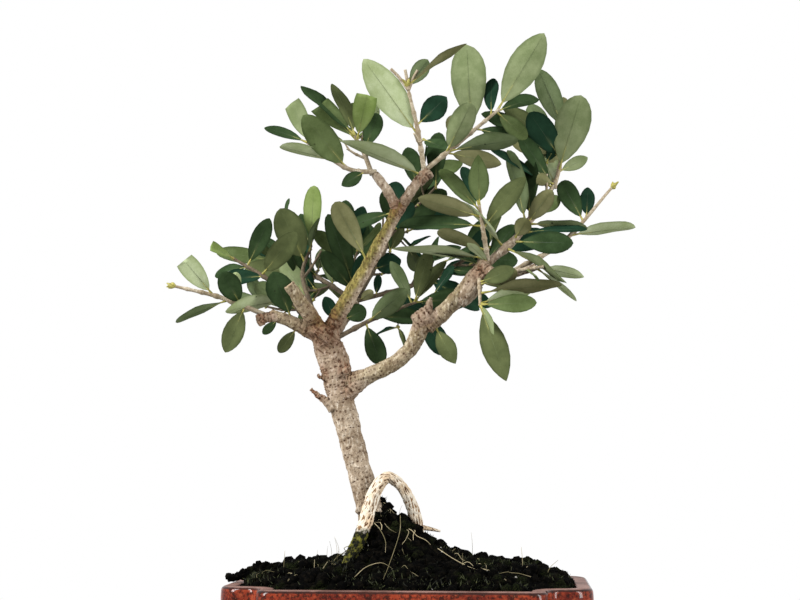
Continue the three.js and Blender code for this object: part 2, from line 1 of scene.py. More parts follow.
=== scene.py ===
# A small olive trained as a bonsai, planted in a rust-red glazed pot.
# Lengths in the sections are millimetres, right of, behind and above the pot's underside centre.
import json
import math
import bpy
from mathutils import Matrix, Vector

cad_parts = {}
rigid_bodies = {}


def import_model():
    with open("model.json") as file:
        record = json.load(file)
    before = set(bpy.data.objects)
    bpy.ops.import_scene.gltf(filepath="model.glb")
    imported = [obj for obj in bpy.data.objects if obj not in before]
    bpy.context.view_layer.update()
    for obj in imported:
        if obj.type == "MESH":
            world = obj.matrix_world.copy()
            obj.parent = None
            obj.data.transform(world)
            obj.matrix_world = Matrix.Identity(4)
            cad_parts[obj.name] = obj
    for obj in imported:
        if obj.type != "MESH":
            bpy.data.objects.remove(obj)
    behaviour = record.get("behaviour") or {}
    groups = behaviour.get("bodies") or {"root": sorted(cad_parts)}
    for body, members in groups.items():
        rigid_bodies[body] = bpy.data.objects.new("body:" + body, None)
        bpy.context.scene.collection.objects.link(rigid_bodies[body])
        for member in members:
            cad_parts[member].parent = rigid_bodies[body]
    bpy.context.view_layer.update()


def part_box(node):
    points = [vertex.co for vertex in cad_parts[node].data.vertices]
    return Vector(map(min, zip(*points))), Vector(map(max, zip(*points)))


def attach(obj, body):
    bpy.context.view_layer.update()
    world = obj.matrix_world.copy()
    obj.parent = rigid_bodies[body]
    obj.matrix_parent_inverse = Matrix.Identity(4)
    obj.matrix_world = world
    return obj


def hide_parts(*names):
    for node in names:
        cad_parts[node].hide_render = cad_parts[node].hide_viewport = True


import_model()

from types import SimpleNamespace

import bpy
import numpy as np
from mathutils import Vector, noise


# The pot: pressed stoneware with stepped-in corners, a rolled lip, four low feet and two drain holes.
# It is dipped in an iron-red glaze that breaks dark at the lip's edge; the rim's top is a satin pinkish
# brown, partly rubbed glaze and partly a painted reflection, and the feet are wiped bare.
MM = 0.001
POT_LENGTH = 200
POT_DEPTH = 150
RIM_HEIGHT = 64
RIM_WIDTH = 8.5
RIM_RAGGEDNESS = 0.5
RUBBED_AND_SHEEN_BELOW_RIM = (0.5, 0.15)
DARK_BELOW_RIM = (1.7, 1.1)
BARE_ABOVE_FOOT = (1.2, -0.6)
LIP_HEIGHT = 12
LIP_PROUD = 3.5
WALL_SLOPE = 7
WALL = 6
FLOOR_THICKNESS = 7
FLOOR_RUN = 14
NOTCH_LENGTH = 24
NOTCH_DEPTH = 22
OUTER_ROUND = 10
END_ROUND = 15
INNER_ROUND = 8
LEAST_ROUND = 1.5
INNER_CHAMFER = 1.2
FOOT_LENGTH = 40
FOOT_DEPTH = 15
FOOT_HEIGHT = 7
FOOT_SET_IN = 2
FOOT_PROFILE = [(0.86, 0), (0.93, 0.7), (0.95, FOOT_HEIGHT - 2), (1.0, FOOT_HEIGHT + 2)]
FOOT_SIDES = 40
DRAIN_RADIUS = 7
DRAIN_SPACING = 90
DRAIN_SIDES = 32
DRAIN_HEIGHTS = (-1, FOOT_HEIGHT + FLOOR_THICKNESS + 2)
TURN_STEPS = 7
RUN_STEPS = 12
FILLET_STEPS = 4
MOST_FILLET = 0.5
POT_SHARP_ANGLE = 50
HAND_WOBBLE = 0.35
WOBBLE_LENGTH = 32
LIGHT_GAIN = 2.2

pot_low, pot_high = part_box("pot")
POT_MIDDLE = np.array([(pot_low.x + pot_high.x) / 2, (pot_low.y + pot_high.y) / 2, pot_low.z])


def hexed(code):
    """The surface colour that looks like a hex code in the middle of the studio's light."""
    parts = [int(code[k:k + 2], 16) / 255 for k in (0, 2, 4)]
    linear = [p / 12.92 if p <= 0.04045 else ((p + 0.055) / 1.055) ** 2.4 for p in parts]
    return (*[p / LIGHT_GAIN for p in linear], 1.0)


def palette(**codes):
    """Surface colours by name, from hex codes."""
    return SimpleNamespace(**{name: hexed(code) for name, code in codes.items()})


class Wire:
    """A socket in a node tree. Arithmetic between wires and numbers adds Math nodes."""

    def __init__(self, tree, socket=None):
        self.tree = tree
        self.socket = socket

    def node(self, kind, settings=None, sockets=None, output=0):
        """Adds a node, its settings first, then values or wires by socket, and gives one of its outputs."""
        made = self.tree.nodes.new(kind)
        for name, value in (settings or {}).items():
            setattr(made, name, value)
        for name, value in (sockets or {}).items():
            if isinstance(value, Wire):
                self.tree.links.new(value.socket, made.inputs[name])
            else:
                made.inputs[name].default_value = value
        return Wire(self.tree, made.outputs[output])

    def math(self, operation, first, second=0.0):
        return self.node("ShaderNodeMath", {"operation": operation}, {0: first, 1: second})

    def __add__(self, other):
        return self.math("ADD", self, other)

    __radd__ = __add__

    def __sub__(self, other):
        return self.math("SUBTRACT", self, other)

    def __rsub__(self, other):
        return self.math("SUBTRACT", other, self)

    def __mul__(self, other):
        return self.math("MULTIPLY", self, other)

    __rmul__ = __mul__

    def ramp(self, low, high):
        """0 at low, 1 at high, and a smooth step between."""
        settings = {"interpolation_type": "SMOOTHSTEP"}
        return self.node("ShaderNodeMapRange", settings, {"Value": self, "From Min": low, "From Max": high})

    def blend(self, first, second, strength=None):
        """The colour first where this is 0 and second, as strong as given, where it is 1."""
        share = self if strength is None else self * strength
        return self.node("ShaderNodeMix", {"data_type": "RGBA"}, {0: share, 6: first, 7: second}, 2)

    def noise(self, scale, detail=3.0, roughness=0.55):
        """Cloudy chance from 0 to 1; scale is how many lumps there are to a metre."""
        sockets = {"Vector": self, "Scale": scale, "Detail": detail, "Roughness": roughness}
        return self.node("ShaderNodeTexNoise", None, sockets, "Fac")

    def cells(self, scale):
        """Distance to the nearest of many scattered points."""
        return self.node("ShaderNodeTexVoronoi", None, {"Vector": self, "Scale": scale}, "Distance")

    def stretched(self, scale):
        """These coordinates, scaled along each axis."""
        return self.node("ShaderNodeMapping", None, {"Vector": self, "Scale": scale})

    def axis(self, name):
        return self.node("ShaderNodeSeparateXYZ", None, {0: self}, name)

    def feed(self, socket):
        self.tree.links.new(self.socket, socket)


class Finish:
    """A material with one main shader, whose sockets are fed by name."""

    def __init__(self, name, roughness=0.5, specular=0.5, coat_roughness=0.05):
        self.material = bpy.data.materials.new(name)
        self.material.use_nodes = True
        self.sockets = self.material.node_tree.nodes["Principled BSDF"].inputs
        self.sockets["Roughness"].default_value = roughness
        self.sockets["Specular IOR Level"].default_value = specular
        self.sockets["Coat Roughness"].default_value = coat_roughness
        self.start = Wire(self.material.node_tree)
        self.place = self.start.node("ShaderNodeTexCoord", output="Object")

    def mark(self, name):
        """What the piece's mesh says of each of its points under a name."""
        return self.start.node("ShaderNodeAttribute", {"attribute_name": name}, None, "Fac")

    def colour(self, tone):
        tone.feed(self.sockets["Base Color"])

    def bump(self, height, distance, strength):
        """Raises the surface, to the eye only, by a height from 0 to 1 over a distance in mm."""
        sockets = {"Height": height, "Distance": distance * MM, "Strength": strength}
        self.start.node("ShaderNodeBump", None, sockets, "Normal").feed(self.sockets["Normal"])


def piece_from(name, points, faces, finishes, face_finishes=None):
    """A piece from points in metres and faces, smooth, with its finishes dealt out by face."""
    mesh = bpy.data.meshes.new(name)
    mesh.from_pydata(np.asarray(points).tolist(), [], [list(face) for face in faces])
    for finish in finishes:
        mesh.materials.append(finish.material)
    if face_finishes is not None:
        mesh.polygons.foreach_set("material_index", face_finishes)
    mesh.shade_smooth()
    mesh.update()
    piece = bpy.data.objects.new(name, mesh)
    bpy.context.scene.collection.objects.link(piece)
    return piece


def baked_mesh(piece):
    """Replaces a piece's mesh by what its modifiers make of it, and takes the modifiers off."""
    depsgraph = bpy.context.evaluated_depsgraph_get()
    mesh = bpy.data.meshes.new_from_object(piece.evaluated_get(depsgraph), depsgraph=depsgraph)
    piece.modifiers.clear()
    piece.data = mesh
    mesh.name = piece.name


def settled(piece, slot, *nodes):
    """Fixes a piece to the plant's one body and hides the solids that it stands for; slot is not used."""
    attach(piece, "root")
    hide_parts(*nodes)


def in_pot(points):
    """Points in mm from the pot's underside centre, put in the frame, in metres."""
    return points * MM + POT_MIDDLE


def ring_faces(rings, around):
    """Quads between closed rings of points, one ring after another, and a cap at each end."""
    faces = []
    for low in range(0, (rings - 1) * around, around):
        for k in range(around):
            after = (k + 1) % around
            faces.append((low + k, low + after, low + around + after, low + around + k))
    faces.append(range(around - 1, -1, -1))
    faces.append(range((rings - 1) * around, rings * around))
    return faces


def pot_plan(inset):
    """One closed line round the pot, drawn in by inset: its corners are stepped in, with rounded turns."""
    length = POT_LENGTH / 2 - inset
    depth = POT_DEPTH / 2 - inset
    rounding = max(OUTER_ROUND - inset, LEAST_ROUND)
    end_rounding = max(END_ROUND - inset, LEAST_ROUND)
    hollow = min(INNER_ROUND + inset, NOTCH_DEPTH - 2 * LEAST_ROUND)
    notch_x = length - NOTCH_LENGTH
    notch_y = depth - NOTCH_DEPTH
    turns = [
        (length - end_rounding, notch_y - end_rounding, end_rounding, 0, 90),
        (notch_x + hollow, notch_y + hollow, hollow, 270, 180),
        (notch_x - rounding, depth - rounding, rounding, 0, 90),
    ]
    quarter = []
    for x, y, radius, start, end in turns:
        angles = np.radians(np.linspace(start, end, TURN_STEPS + 1))
        quarter.append(np.column_stack([x + radius * np.cos(angles), y + radius * np.sin(angles)]))
    half = quarter + [arc[::-1] * [-1, 1] for arc in quarter[::-1]]
    arcs = half + [-arc for arc in half]
    shares = np.linspace(0, 1, RUN_STEPS + 2)[1:-1, None]
    line = []
    for arc, following in zip(arcs, arcs[1:] + arcs[:1]):
        line.append(arc)
        line.append(arc[-1] * (1 - shares) + following[0] * shares)
    return np.vstack(line)


def filleted(corners):
    """A line through corners, each x, z and how far from it the rounding starts."""
    places = np.array([corner[:2] for corner in corners], float)
    shares = np.linspace(0, 1, FILLET_STEPS + 1)[:, None]
    line = [places[:1]]
    for before, at, after, corner in zip(places, places[1:], places[2:], corners[1:]):
        into = at + (before - at) * min(corner[2] / np.linalg.norm(before - at), MOST_FILLET)
        out = at + (after - at) * min(corner[2] / np.linalg.norm(after - at), MOST_FILLET)
        line.append(into * (1 - shares) ** 2 + 2 * at * shares * (1 - shares) + out * shares ** 2)
    line.append(places[-1:])
    return np.vstack(line)


def combined(piece, others, operation):
    """Joins other pieces to a piece, or cuts them out of it, and removes them."""
    for other in others:
        modifier = piece.modifiers.new(operation, "BOOLEAN")
        modifier.operation = operation
        modifier.object = other
        modifier.solver = "EXACT"
    baked_mesh(piece)
    for other in others:
        bpy.data.objects.remove(other)


def circle(count):
    """The angles of points spaced evenly round a circle."""
    return np.linspace(0, 2 * np.pi, count, endpoint=False)


def drum(name, x, y, sections, sides, finish):
    """A closed upright drum of oval sections, each half length, half depth and height."""
    turn = circle(sides)
    rings = []
    for half_length, half_depth, z in sections:
        column = np.column_stack([np.cos(turn) * half_length, np.sin(turn) * half_depth, np.full(sides, z)])
        rings.append(column + [x, y, 0])
    return piece_from(name, in_pot(np.vstack(rings)), ring_faces(len(rings), sides), [finish])


def iron_red_glaze():
    """Rust red that runs to orange where it is thin and pools to dark brown, under a clear coat."""
    tones = palette(
        rust="6b2011", red="98391e", thin="b9653f", pooled="2a0e07", speck="d08a5a",
        edge="2a1a17", rim="78584f", rubbed="a37f74", rim_fleck="4d332d", bare="5a473c",
    )
    finish = Finish("iron_red_glaze", specular=0.03, coat_roughness=0.03)
    height = finish.place.axis("Z")
    runs = finish.place.stretched((1.0, 1.0, 0.4)).noise(70, detail=4, roughness=0.6)
    mottle = finish.place.noise(420, detail=4, roughness=0.68)
    flecks = finish.place.noise(1300, detail=2, roughness=0.6)
    lip = height.ramp(*[(RIM_HEIGHT - below) * MM for below in DARK_BELOW_RIM])
    ragged = height + (mottle - 0.5) * (RIM_RAGGEDNESS * MM)
    # The rim's top is satin, and its pale pinkish brown is partly its own colour and partly a painted
    # reflection.
    top = ragged.ramp(*[(RIM_HEIGHT - below) * MM for below in RUBBED_AND_SHEEN_BELOW_RIM])
    bare = height.ramp(*[(FOOT_HEIGHT + above) * MM for above in BARE_ABOVE_FOOT])
    red = runs.ramp(0.36, 0.62).blend(tones.rust, tones.red)
    warm = mottle.ramp(0.55, 0.72).blend(red, tones.thin, strength=0.55)
    dark = mottle.ramp(0.55, 0.39).blend(warm, tones.pooled, strength=0.9)
    speckled = flecks.ramp(0.6, 0.72).blend(dark, tones.speck, strength=0.3)
    edged = lip.blend(speckled, tones.edge, strength=0.85)
    rim_tone = runs.ramp(0.35, 0.65).blend(tones.rim, tones.rubbed)
    rim = flecks.ramp(0.54, 0.68).blend(rim_tone, tones.rim_fleck, strength=0.5)
    finish.colour(bare.blend(top.blend(edged, rim), tones.bare))
    (0.14 + mottle * 0.14 + top * 0.3 + bare * 0.45).feed(finish.sockets["Roughness"])
    ((1 - top * 0.8) * (1 - bare) * 0.25).feed(finish.sockets["Coat Weight"])
    finish.bump(runs * 0.7 + mottle * 0.3, distance=0.3, strength=0.4)
    return finish


glaze = iron_red_glaze()
base_inset = LIP_PROUD + WALL_SLOPE
lip_foot = RIM_HEIGHT - LIP_HEIGHT
inner_floor = FOOT_HEIGHT + FLOOR_THICKNESS
pot_profile = filleted([
    (base_inset + FLOOR_RUN, FOOT_HEIGHT, 0),
    (base_inset, FOOT_HEIGHT, 4),
    (LIP_PROUD, lip_foot - 3, 3),
    (0.6, lip_foot + 0.5, 1.6),
    (0, lip_foot + 5, 2.5),
    (0.4, RIM_HEIGHT - 1, 1.8),
    (2.4, RIM_HEIGHT, 1.6),
    (RIM_WIDTH, RIM_HEIGHT, 0.9),
    (RIM_WIDTH + INNER_CHAMFER, RIM_HEIGHT - INNER_CHAMFER, 0.8),
    (base_inset + WALL, inner_floor, 4),
    (base_inset + WALL + FLOOR_RUN, inner_floor, 0),
])
plan_points = len(pot_plan(0))
pot_points = np.vstack([
    np.column_stack([pot_plan(inset), np.full(plan_points, z)]) for inset, z in pot_profile
])
wobble = np.array([noise.noise(Vector(point) / WOBBLE_LENGTH) for point in pot_points])
pot_points[:, 1] += wobble * HAND_WOBBLE * np.sign(pot_points[:, 1])
pot = piece_from("glazed_pot", in_pot(pot_points), ring_faces(len(pot_profile), plan_points), [glaze])

foot_x = POT_LENGTH / 2 - NOTCH_LENGTH - base_inset - FOOT_LENGTH / 2
foot_y = POT_DEPTH / 2 - base_inset - FOOT_DEPTH / 2 - FOOT_SET_IN
foot_sections = [(FOOT_LENGTH / 2 * share, FOOT_DEPTH / 2 * share, z) for share, z in FOOT_PROFILE]
drain_sections = [(DRAIN_RADIUS, DRAIN_RADIUS, z) for z in DRAIN_HEIGHTS]
feet = []
drains = []
for right in (-1, 1):
    for back in (-1, 1):
        feet.append(drum("pot_foot", right * foot_x, back * foot_y, foot_sections, FOOT_SIDES, glaze))
    drains.append(drum("pot_drain", right * DRAIN_SPACING / 2, 0, drain_sections, DRAIN_SIDES, glaze))
combined(pot, feet, "UNION")
combined(pot, drains, "DIFFERENCE")
pot.data.set_sharp_from_angle(angle=math.radians(POT_SHARP_ANGLE))
settled(pot, "glazed_pot", "pot")


# The soil: a low heap of black peat, crumbly, with a steep mound round the trunk's foot.
# Crumbs lie all over it, moss greens parts of it, and grains of white grit show at the top.
SOIL_EDGE = 63
HEAP_RISE = 11
HEAP_SHOULDER = 5
MOUND_RISE = 26
MOUND_X = -22.5
MOUND_FLAT_LEFT = 0.5
MOUND_FLAT_RIGHT = 5
MOUND_FLAT_DEPTH = 6
MOUND_FALL_LEFT = 7.2
MOUND_FALL_RIGHT = 33
MOUND_FALL_DEPTH = 22
PEAK_X = 7.5
PEAK_RISE = 10
PEAK_SPREAD = 5.5
SOIL_LUMPS = [(20, 0, 3.5, 5), (40, 1, 3, 6), (67, 0, 2.5, 6), (-62, 0, -2.5, 13)]
TREE_TURN = math.radians(5)
SOIL_GAP = 0.6
SOIL_RINGS = 46
RING_CROWDING = 1.3
SOIL_CRUMBLE = [{"size": 11, "octaves": 4, "start": 0}, {"size": 3.6, "octaves": 2, "start": 50}]
SOIL_CRUMBLE_RISES = (3.2, 1.4)
EDGE_CRUMBLE = 0.35
CRUMBLE_GROWTH = 4
SOIL_SEED = 8
CRUMB_SEED = 3
CRUMB_PATCH = 22
CRUMB_CONTRAST = 0.8
CRUMB_LIMITS = (0.15, 2.0)
MOSS_PATCH = 14
MOSS_CONTRAST = 2.4
MOSS_SHARE = 0.05
MOSS_LIMITS = (0.02, 1)
MOSS_EDGE = 1.5
MOSS_TILT = 0.7
FACING_UP = 0.12
SHAKE_LUMPS = 380.0

turn_cos = math.cos(TREE_TURN)
turn_sin = math.sin(TREE_TURN)


def planted(points):
    """Points in the tree's own directions, in mm, turned with the tree and put in the frame, in metres."""
    x, y, z = np.moveaxis(np.asarray(points, float)[..., :3], -1, 0)
    return in_pot(np.stack([x * turn_cos - y * turn_sin, y * turn_cos + x * turn_sin, z], -1))


def along_tree(x, y):
    """Places in the pot's plan as the tree's own directions have them."""
    return x * turn_cos + y * turn_sin, y * turn_cos - x * turn_sin


def roughness_at(points, size, octaves, start=0):
    """Smooth chance from -1 to 1 at points in mm; size is that of one lump, and start picks the pattern."""
    return np.array([noise.fractal(Vector(point) / size, 1.0, 2.0, octaves) for point in points + start])


def beyond(distance, flat, fall):
    return np.maximum(np.abs(distance) - flat, 0) / fall


def soil_height(spots, outward):
    """The heap's height at spots in the pot's plan; outward is 0 at the mound and 1 at the edge."""
    x, y = along_tree(spots[:, 0], spots[:, 1])
    right = x - MOUND_X
    flat = np.where(right < 0, MOUND_FLAT_LEFT, MOUND_FLAT_RIGHT)
    fall = np.where(right < 0, MOUND_FALL_LEFT, MOUND_FALL_RIGHT)
    mound = np.exp(-beyond(right, flat, fall) ** 2 - beyond(y, MOUND_FLAT_DEPTH, MOUND_FALL_DEPTH) ** 2)
    peak = np.exp(-((right - PEAK_X) / PEAK_SPREAD) ** 2 - (y / PEAK_SPREAD) ** 2)
    height = SOIL_EDGE + HEAP_RISE * (1 - outward ** HEAP_SHOULDER) + MOUND_RISE * mound + PEAK_RISE * peak
    for lump_x, lump_y, rise, spread in SOIL_LUMPS:
        height += rise * np.exp(-((right + MOUND_X - lump_x) ** 2 + (y - lump_y) ** 2) / spread ** 2)
    return height


def peat():
    """Black peat with brown crumbs and a green cast where moss has started."""
    tones = palette(black="040404", crumb="1b1711", film="262d14")
    finish = Finish("peat", roughness=0.95, specular=0.015)
    crumbs = finish.place.noise(420, detail=4, roughness=0.7)
    moist = finish.place.noise(1500, detail=2, roughness=0.6)
    film = finish.place.noise(70, roughness=0.6)
    tone = crumbs.ramp(0.46, 0.74).blend(tones.black, tones.crumb)
    finish.colour((film.ramp(0.5, 0.66) * moist.ramp(0.42, 0.62)).blend(tone, tones.film, strength=0.8))
    finish.bump(crumbs * 0.6 + moist * 0.4, distance=0.5, strength=0.9)
    return finish


soil_finish = peat()
soil_top = pot_plan(RIM_WIDTH + INNER_CHAMFER + SOIL_GAP)
soil_bottom = pot_plan(base_inset + WALL + SOIL_GAP)
mound_centre = np.array([MOUND_X * turn_cos, MOUND_X * turn_sin])
soil_rings = [np.column_stack([soil_bottom, np.full(plan_points, inner_floor + SOIL_GAP / 2)])]
for share in np.linspace(1, 0, SOIL_RINGS, endpoint=False) ** RING_CROWDING:
    spots = mound_centre + (soil_top - mound_centre) * share
    ring = np.column_stack([spots, soil_height(spots, np.full(plan_points, share))])
    crumbles = [roughness_at(ring, **lumps) * rise for lumps, rise in zip(SOIL_CRUMBLE, SOIL_CRUMBLE_RISES)]
    ring[:, 2] += sum(crumbles) * min(1.0, EDGE_CRUMBLE + CRUMBLE_GROWTH * (1 - share))
    soil_rings.append(ring)
soil_points = np.vstack(soil_rings)
soil = piece_from("soil_heap", in_pot(soil_points), ring_faces(len(soil_rings), plan_points), [soil_finish])
settled(soil, "soil", "soil")


def scatter_nodes(name, build_instance, tilt):
    """A tree that strews copies over a surface's upward faces, sized by chance, and makes them real."""
    tree = bpy.data.node_groups.new(name, "GeometryNodeTree")
    tree.interface.new_socket("Geometry", in_out="INPUT", socket_type="NodeSocketGeometry")
    for label in ("Per Square Metre", "Smallest", "Largest", "Unevenness"):
        tree.interface.new_socket(label, in_out="INPUT", socket_type="NodeSocketFloat")
    tree.interface.new_socket("Seed", in_out="INPUT", socket_type="NodeSocketInt")
    tree.interface.new_socket("Finish", in_out="INPUT", socket_type="NodeSocketMaterial")
    tree.interface.new_socket("Geometry", in_out="OUTPUT", socket_type="NodeSocketGeometry")
    start = Wire(tree)
    given = tree.nodes.new("NodeGroupInput").outputs
    given = {socket.name: Wire(tree, socket) for socket in given if socket.name}
    rise = start.node("GeometryNodeInputNormal").axis("Z")
    kind = {"data_type": "FLOAT"}
    patch = start.node("GeometryNodeInputNamedAttribute", kind, {"Name": "patch"}, "Attribute")
    spread = tree.nodes.new("GeometryNodeDistributePointsOnFaces")
    given["Geometry"].feed(spread.inputs["Mesh"])
    rise.math("GREATER_THAN", rise, FACING_UP).feed(spread.inputs["Selection"])
    (given["Per Square Metre"] * patch).feed(spread.inputs["Density"])
    given["Seed"].feed(spread.inputs["Seed"])
    size = start.node("FunctionNodeRandomValue", {"data_type": "FLOAT"}, {8: given["Seed"]}, 1)
    size = given["Smallest"] + (given["Largest"] - given["Smallest"]) * size * size * size * size
    lean = start.node(
        "FunctionNodeRandomValue",
        {"data_type": "FLOAT_VECTOR"},
        {0: (-tilt, -tilt, 0.0), 1: (tilt, tilt, 2 * math.pi), 8: given["Seed"] + 1},
    )
    turned = start.node(
        "FunctionNodeRotateRotation",
        {"rotation_space": "LOCAL"},
        {"Rotation": Wire(tree, spread.outputs["Rotation"]), "Rotate By": lean},
    )
    copies = start.node("GeometryNodeInstanceOnPoints", None, {
        "Points": Wire(tree, spread.outputs["Points"]),
        "Instance": build_instance(start),
        "Rotation": turned,
        "Scale": size,
    })
    real = start.node("GeometryNodeRealizeInstances", None, {"Geometry": copies})
    where = start.node("GeometryNodeInputPosition")
    lumps = {"Vector": where, "Scale": SHAKE_LUMPS, "Detail": 2.0}
    shake = start.node("ShaderNodeTexNoise", {"noise_dimensions": "3D"}, lumps, "Color")
    centred = start.node("ShaderNodeVectorMath", {"operation": "SUBTRACT"}, {0: shake, 1: (0.5, 0.5, 0.5)})
    amount = {0: centred, "Scale": given["Unevenness"]}
    offset = start.node("ShaderNodeVectorMath", {"operation": "SCALE"}, amount)
    uneven = start.node("GeometryNodeSetPosition", None, {"Geometry": real, "Offset": offset})
    done = start.node("GeometryNodeSetMaterial", None, {"Geometry": uneven, "Material": given["Finish"]})
    done.feed(tree.nodes.new("NodeGroupOutput").inputs[0])
    return tree


def strewn(name, surface, tree, patch, finish, **inputs):
    """Makes a piece of what a tree strews over a surface; patch weighs each of the surface's points."""
    mesh = surface.data.copy()
    mesh.attributes.new("patch", "FLOAT", "POINT").data.foreach_set("value", patch)
    piece = bpy.data.objects.new(name, mesh)
    bpy.context.scene.collection.objects.link(piece)
    modifier = piece.modifiers.new(name, "NODES")
    modifier.node_group = tree
    inputs["Finish"] = finish.material
    for socket in tree.interface.items_tree:
        label = socket.name.replace(" ", "_")
        if label in inputs:
            modifier[socket.identifier] = inputs[label]
    baked_mesh(piece)
    piece.data.shade_smooth()
    settled(piece, "soil")


def crumb(start):
    """A lump of twenty faces."""
    return start.node("GeometryNodeMeshIcoSphere", None, {"Radius": 0.5, "Subdivisions": 1})


crumb_drift = 1.0 + CRUMB_CONTRAST * roughness_at(soil_points, CRUMB_PATCH, octaves=2, start=200)
crumb_tree = scatter_nodes("soil_crumbs", crumb, math.pi)
strewn(
    "soil_crumbs", soil, crumb_tree, np.clip(crumb_drift, *CRUMB_LIMITS), soil_finish,
    Per_Square_Metre=130000.0, Smallest=1.0 * MM, Largest=8.5 * MM, Unevenness=2.6 * MM, Seed=CRUMB_SEED,
)


def moss_green():
    """Yellow-green moss, darker in places."""
    tones = palette(shade="12160a", green="3a4020", tip="77793f")
    finish = Finish("moss_green", roughness=0.85, specular=0.2)
    tint = finish.place.noise(160, detail=2, roughness=0.5)
    fine = finish.place.noise(900, detail=2, roughness=0.5)
    tone = tint.ramp(0.42, 0.66).blend(tones.shade, tones.green)
    finish.colour(fine.ramp(0.55, 0.7).blend(tone, tones.tip, strength=0.5))
    return finish


def moss_leaf(start):
    """A pointed three-sided blade, one unit long."""
    shape = {"Vertices": 3, "Radius Top": 0.0, "Radius Bottom": 0.13, "Depth": 1.0}
    return start.node("GeometryNodeMeshCone", {"fill_type": "TRIANGLE_FAN"}, shape, "Mesh")


moss_drift = roughness_at(soil_points, MOSS_PATCH, octaves=3, start=400) * MOSS_CONTRAST + MOSS_SHARE
strewn(
    "moss", soil, scatter_nodes("moss_blades", moss_leaf, MOSS_TILT),
    np.clip(moss_drift, *MOSS_LIMITS) ** MOSS_EDGE, moss_green(),
    Per_Square_Metre=560000.0, Smallest=1.2 * MM, Largest=4.8 * MM, Unevenness=0.4 * MM, Seed=SOIL_SEED,
)


def two_toned(name, shade, light, scale, drift, roughness=0.8, specular=0.3):
    """A plain finish that drifts between two tones; scale is how many drifts there are to a metre."""
    finish = Finish(name, roughness, specular)
    finish.colour(finish.place.noise(scale, detail=2).ramp(*drift).blend(hexed(shade), hexed(light)))
    return finish


strewn(
    "white_grit", soil, scatter_nodes("grit_grains", crumb, math.pi), np.ones(len(soil_points)),
    two_toned("white_grit", shade="8f8a80", light="d8d5cd", scale=900, drift=(0.4, 0.7)),
    Per_Square_Metre=1500.0, Smallest=1.0 * MM, Largest=2.4 * MM, Unevenness=0.5 * MM, Seed=SOIL_SEED,
)


# The rootlets: dry, straw-coloured fibres of old roots and grass that lie over the peat; a few stand up.
# Each is one thin tapering thread, with its ends worked into the surface. Longer fibres hang down the front
# of the mound, and a torn clump of peat has slid over the rim.
LYING_ROOTLETS = 64
STANDING_ROOTLETS = 10
ROOTLET_RADIUS = 0.18
ROOTLET_SIDES = 5
ROOTLET_SEED = 21
ROOTLET_SHARES = (0.25, 0.5, 0.75)
ROOTLET_REACH = (8, 32)
ROOTLET_CHOICE = 60
ROOTLET_STRAY = 0.13
ROOTLET_LIFT = (0.6, 2.2)
ROOTLET_THICKNESS = (0.6, 1.3)
LYING_TAPER = np.array([1, 1, 1, 0.5])
STANDING_TAPER = np.array([0.8, 0.6, 0.3])
STANDING_LENGTH = (7, 15)
STANDING_SWAY = 0.3
STANDING_SINK = 2
FIBRE_TAPER = np.array([1.0, 1.0, 0.9, 0.5])
RINGS_OFF_EDGE = 3
FIBRES = [
    [(-6, -24, 101), (-6.5, -38, 92), (-12, -52, 76), (-15, -58, 69)],
    [(-30, -56, 70), (-24, -53, 75), (-16, -50, 77), (-10, -52, 74)],
    [(-20, -32, 97), (-17, -37, 94), (-14, -42, 88), (-14, -44, 82)],
    [(14, -40, 84), (22, -46, 79), (30, -50, 75), (36, -50, 73)],
    [(-69, -25, 62), (-69.5, -25, 72), (-69, -25, 82)],
    [(-50, -40, 62), (-52, -39, 70), (-52, -38, 78)],
    [(-49, -40, 62), (-49, -39, 70), (-45, -38, 77)],
    [(58, -25, 64), (60.5, -25, 74), (60, -25, 84)],
    [(72, -25, 62), (75, -25, 72), (80, -25, 77)],
]
CLUMP = [(-72, -14, 71, 2.6), (-83, -12, 71.5, 2.8), (-92, -10, 68.5, 2.6), (-102, -10, 66.5, 1.6)]
CLUMP_LUMP = 3.2
CLUMP_RELIEF = 1.5
BACKWARD = np.array([0.0, 1.0, 0.0])
UPWARD = np.array([0.0, 0.0, 1.0])
HEADING_STEP = 1e-4


def spot_on(points, along):
    """Where the smooth path through points is, at each share along it."""
    points = np.asarray(points, float)[:, :3]
    ends = np.vstack([2 * points[0] - points[1], points, 2 * points[-1] - points[-2]])
    place = np.clip(np.asarray(along, float), 0, 1) * (len(points) - 1)
    first = np.minimum(place.astype(int), len(points) - 2)
    share = (place - first)[..., None]
    before, start, end, after = (ends[first + k] for k in range(4))
    leave = (end - before) / 2
    arrive = (after - start) / 2
    bend = -3 * start + 3 * end - 2 * leave - arrive
    twist = 2 * start - 2 * end + leave + arrive
    return start + share * (leave + share * (bend + share * twist))


def unit(vectors):
    vectors = np.asarray(vectors, float)
    return vectors / np.linalg.norm(vectors, axis=-1, keepdims=True)


def frame_on(points, along):
    """A path's heading and the two directions across it, at each share along it."""
    along = np.asarray(along, float)
    tangent = unit(spot_on(points, along + HEADING_STEP) - spot_on(points, along - HEADING_STEP))
    side = unit(np.cross(tangent, BACKWARD))
    return tangent, side, np.cross(side, tangent)


def radii_of(stations):
    return [station[3] for station in stations]


def between(values, along):
    """What values spaced evenly along a path come to at each share along it."""
    return np.interp(along, np.linspace(0, 1, len(values)), values)


def tube(points, radii, sides, steps, swell=None):
    """A closed tapering tube along a smooth path. swell may change each ring's radii by share and angle."""
    along = np.linspace(0, 1, steps + 1)
    _, side, front = frame_on(points, along)
    angle = circle(sides)
    radius = between(radii, along)[:, None] * np.ones(sides)
    if swell is not None:
        radius = swell(radius, along[:, None], angle[None, :])
    outward = side[:, None] * np.cos(angle)[:, None] + front[:, None] * np.sin(angle)[:, None]
    rings = spot_on(points, along)[:, None] + outward * radius[..., None]
    return rings.reshape(-1, 3), [face[::-1] for face in ring_faces(steps + 1, sides)]


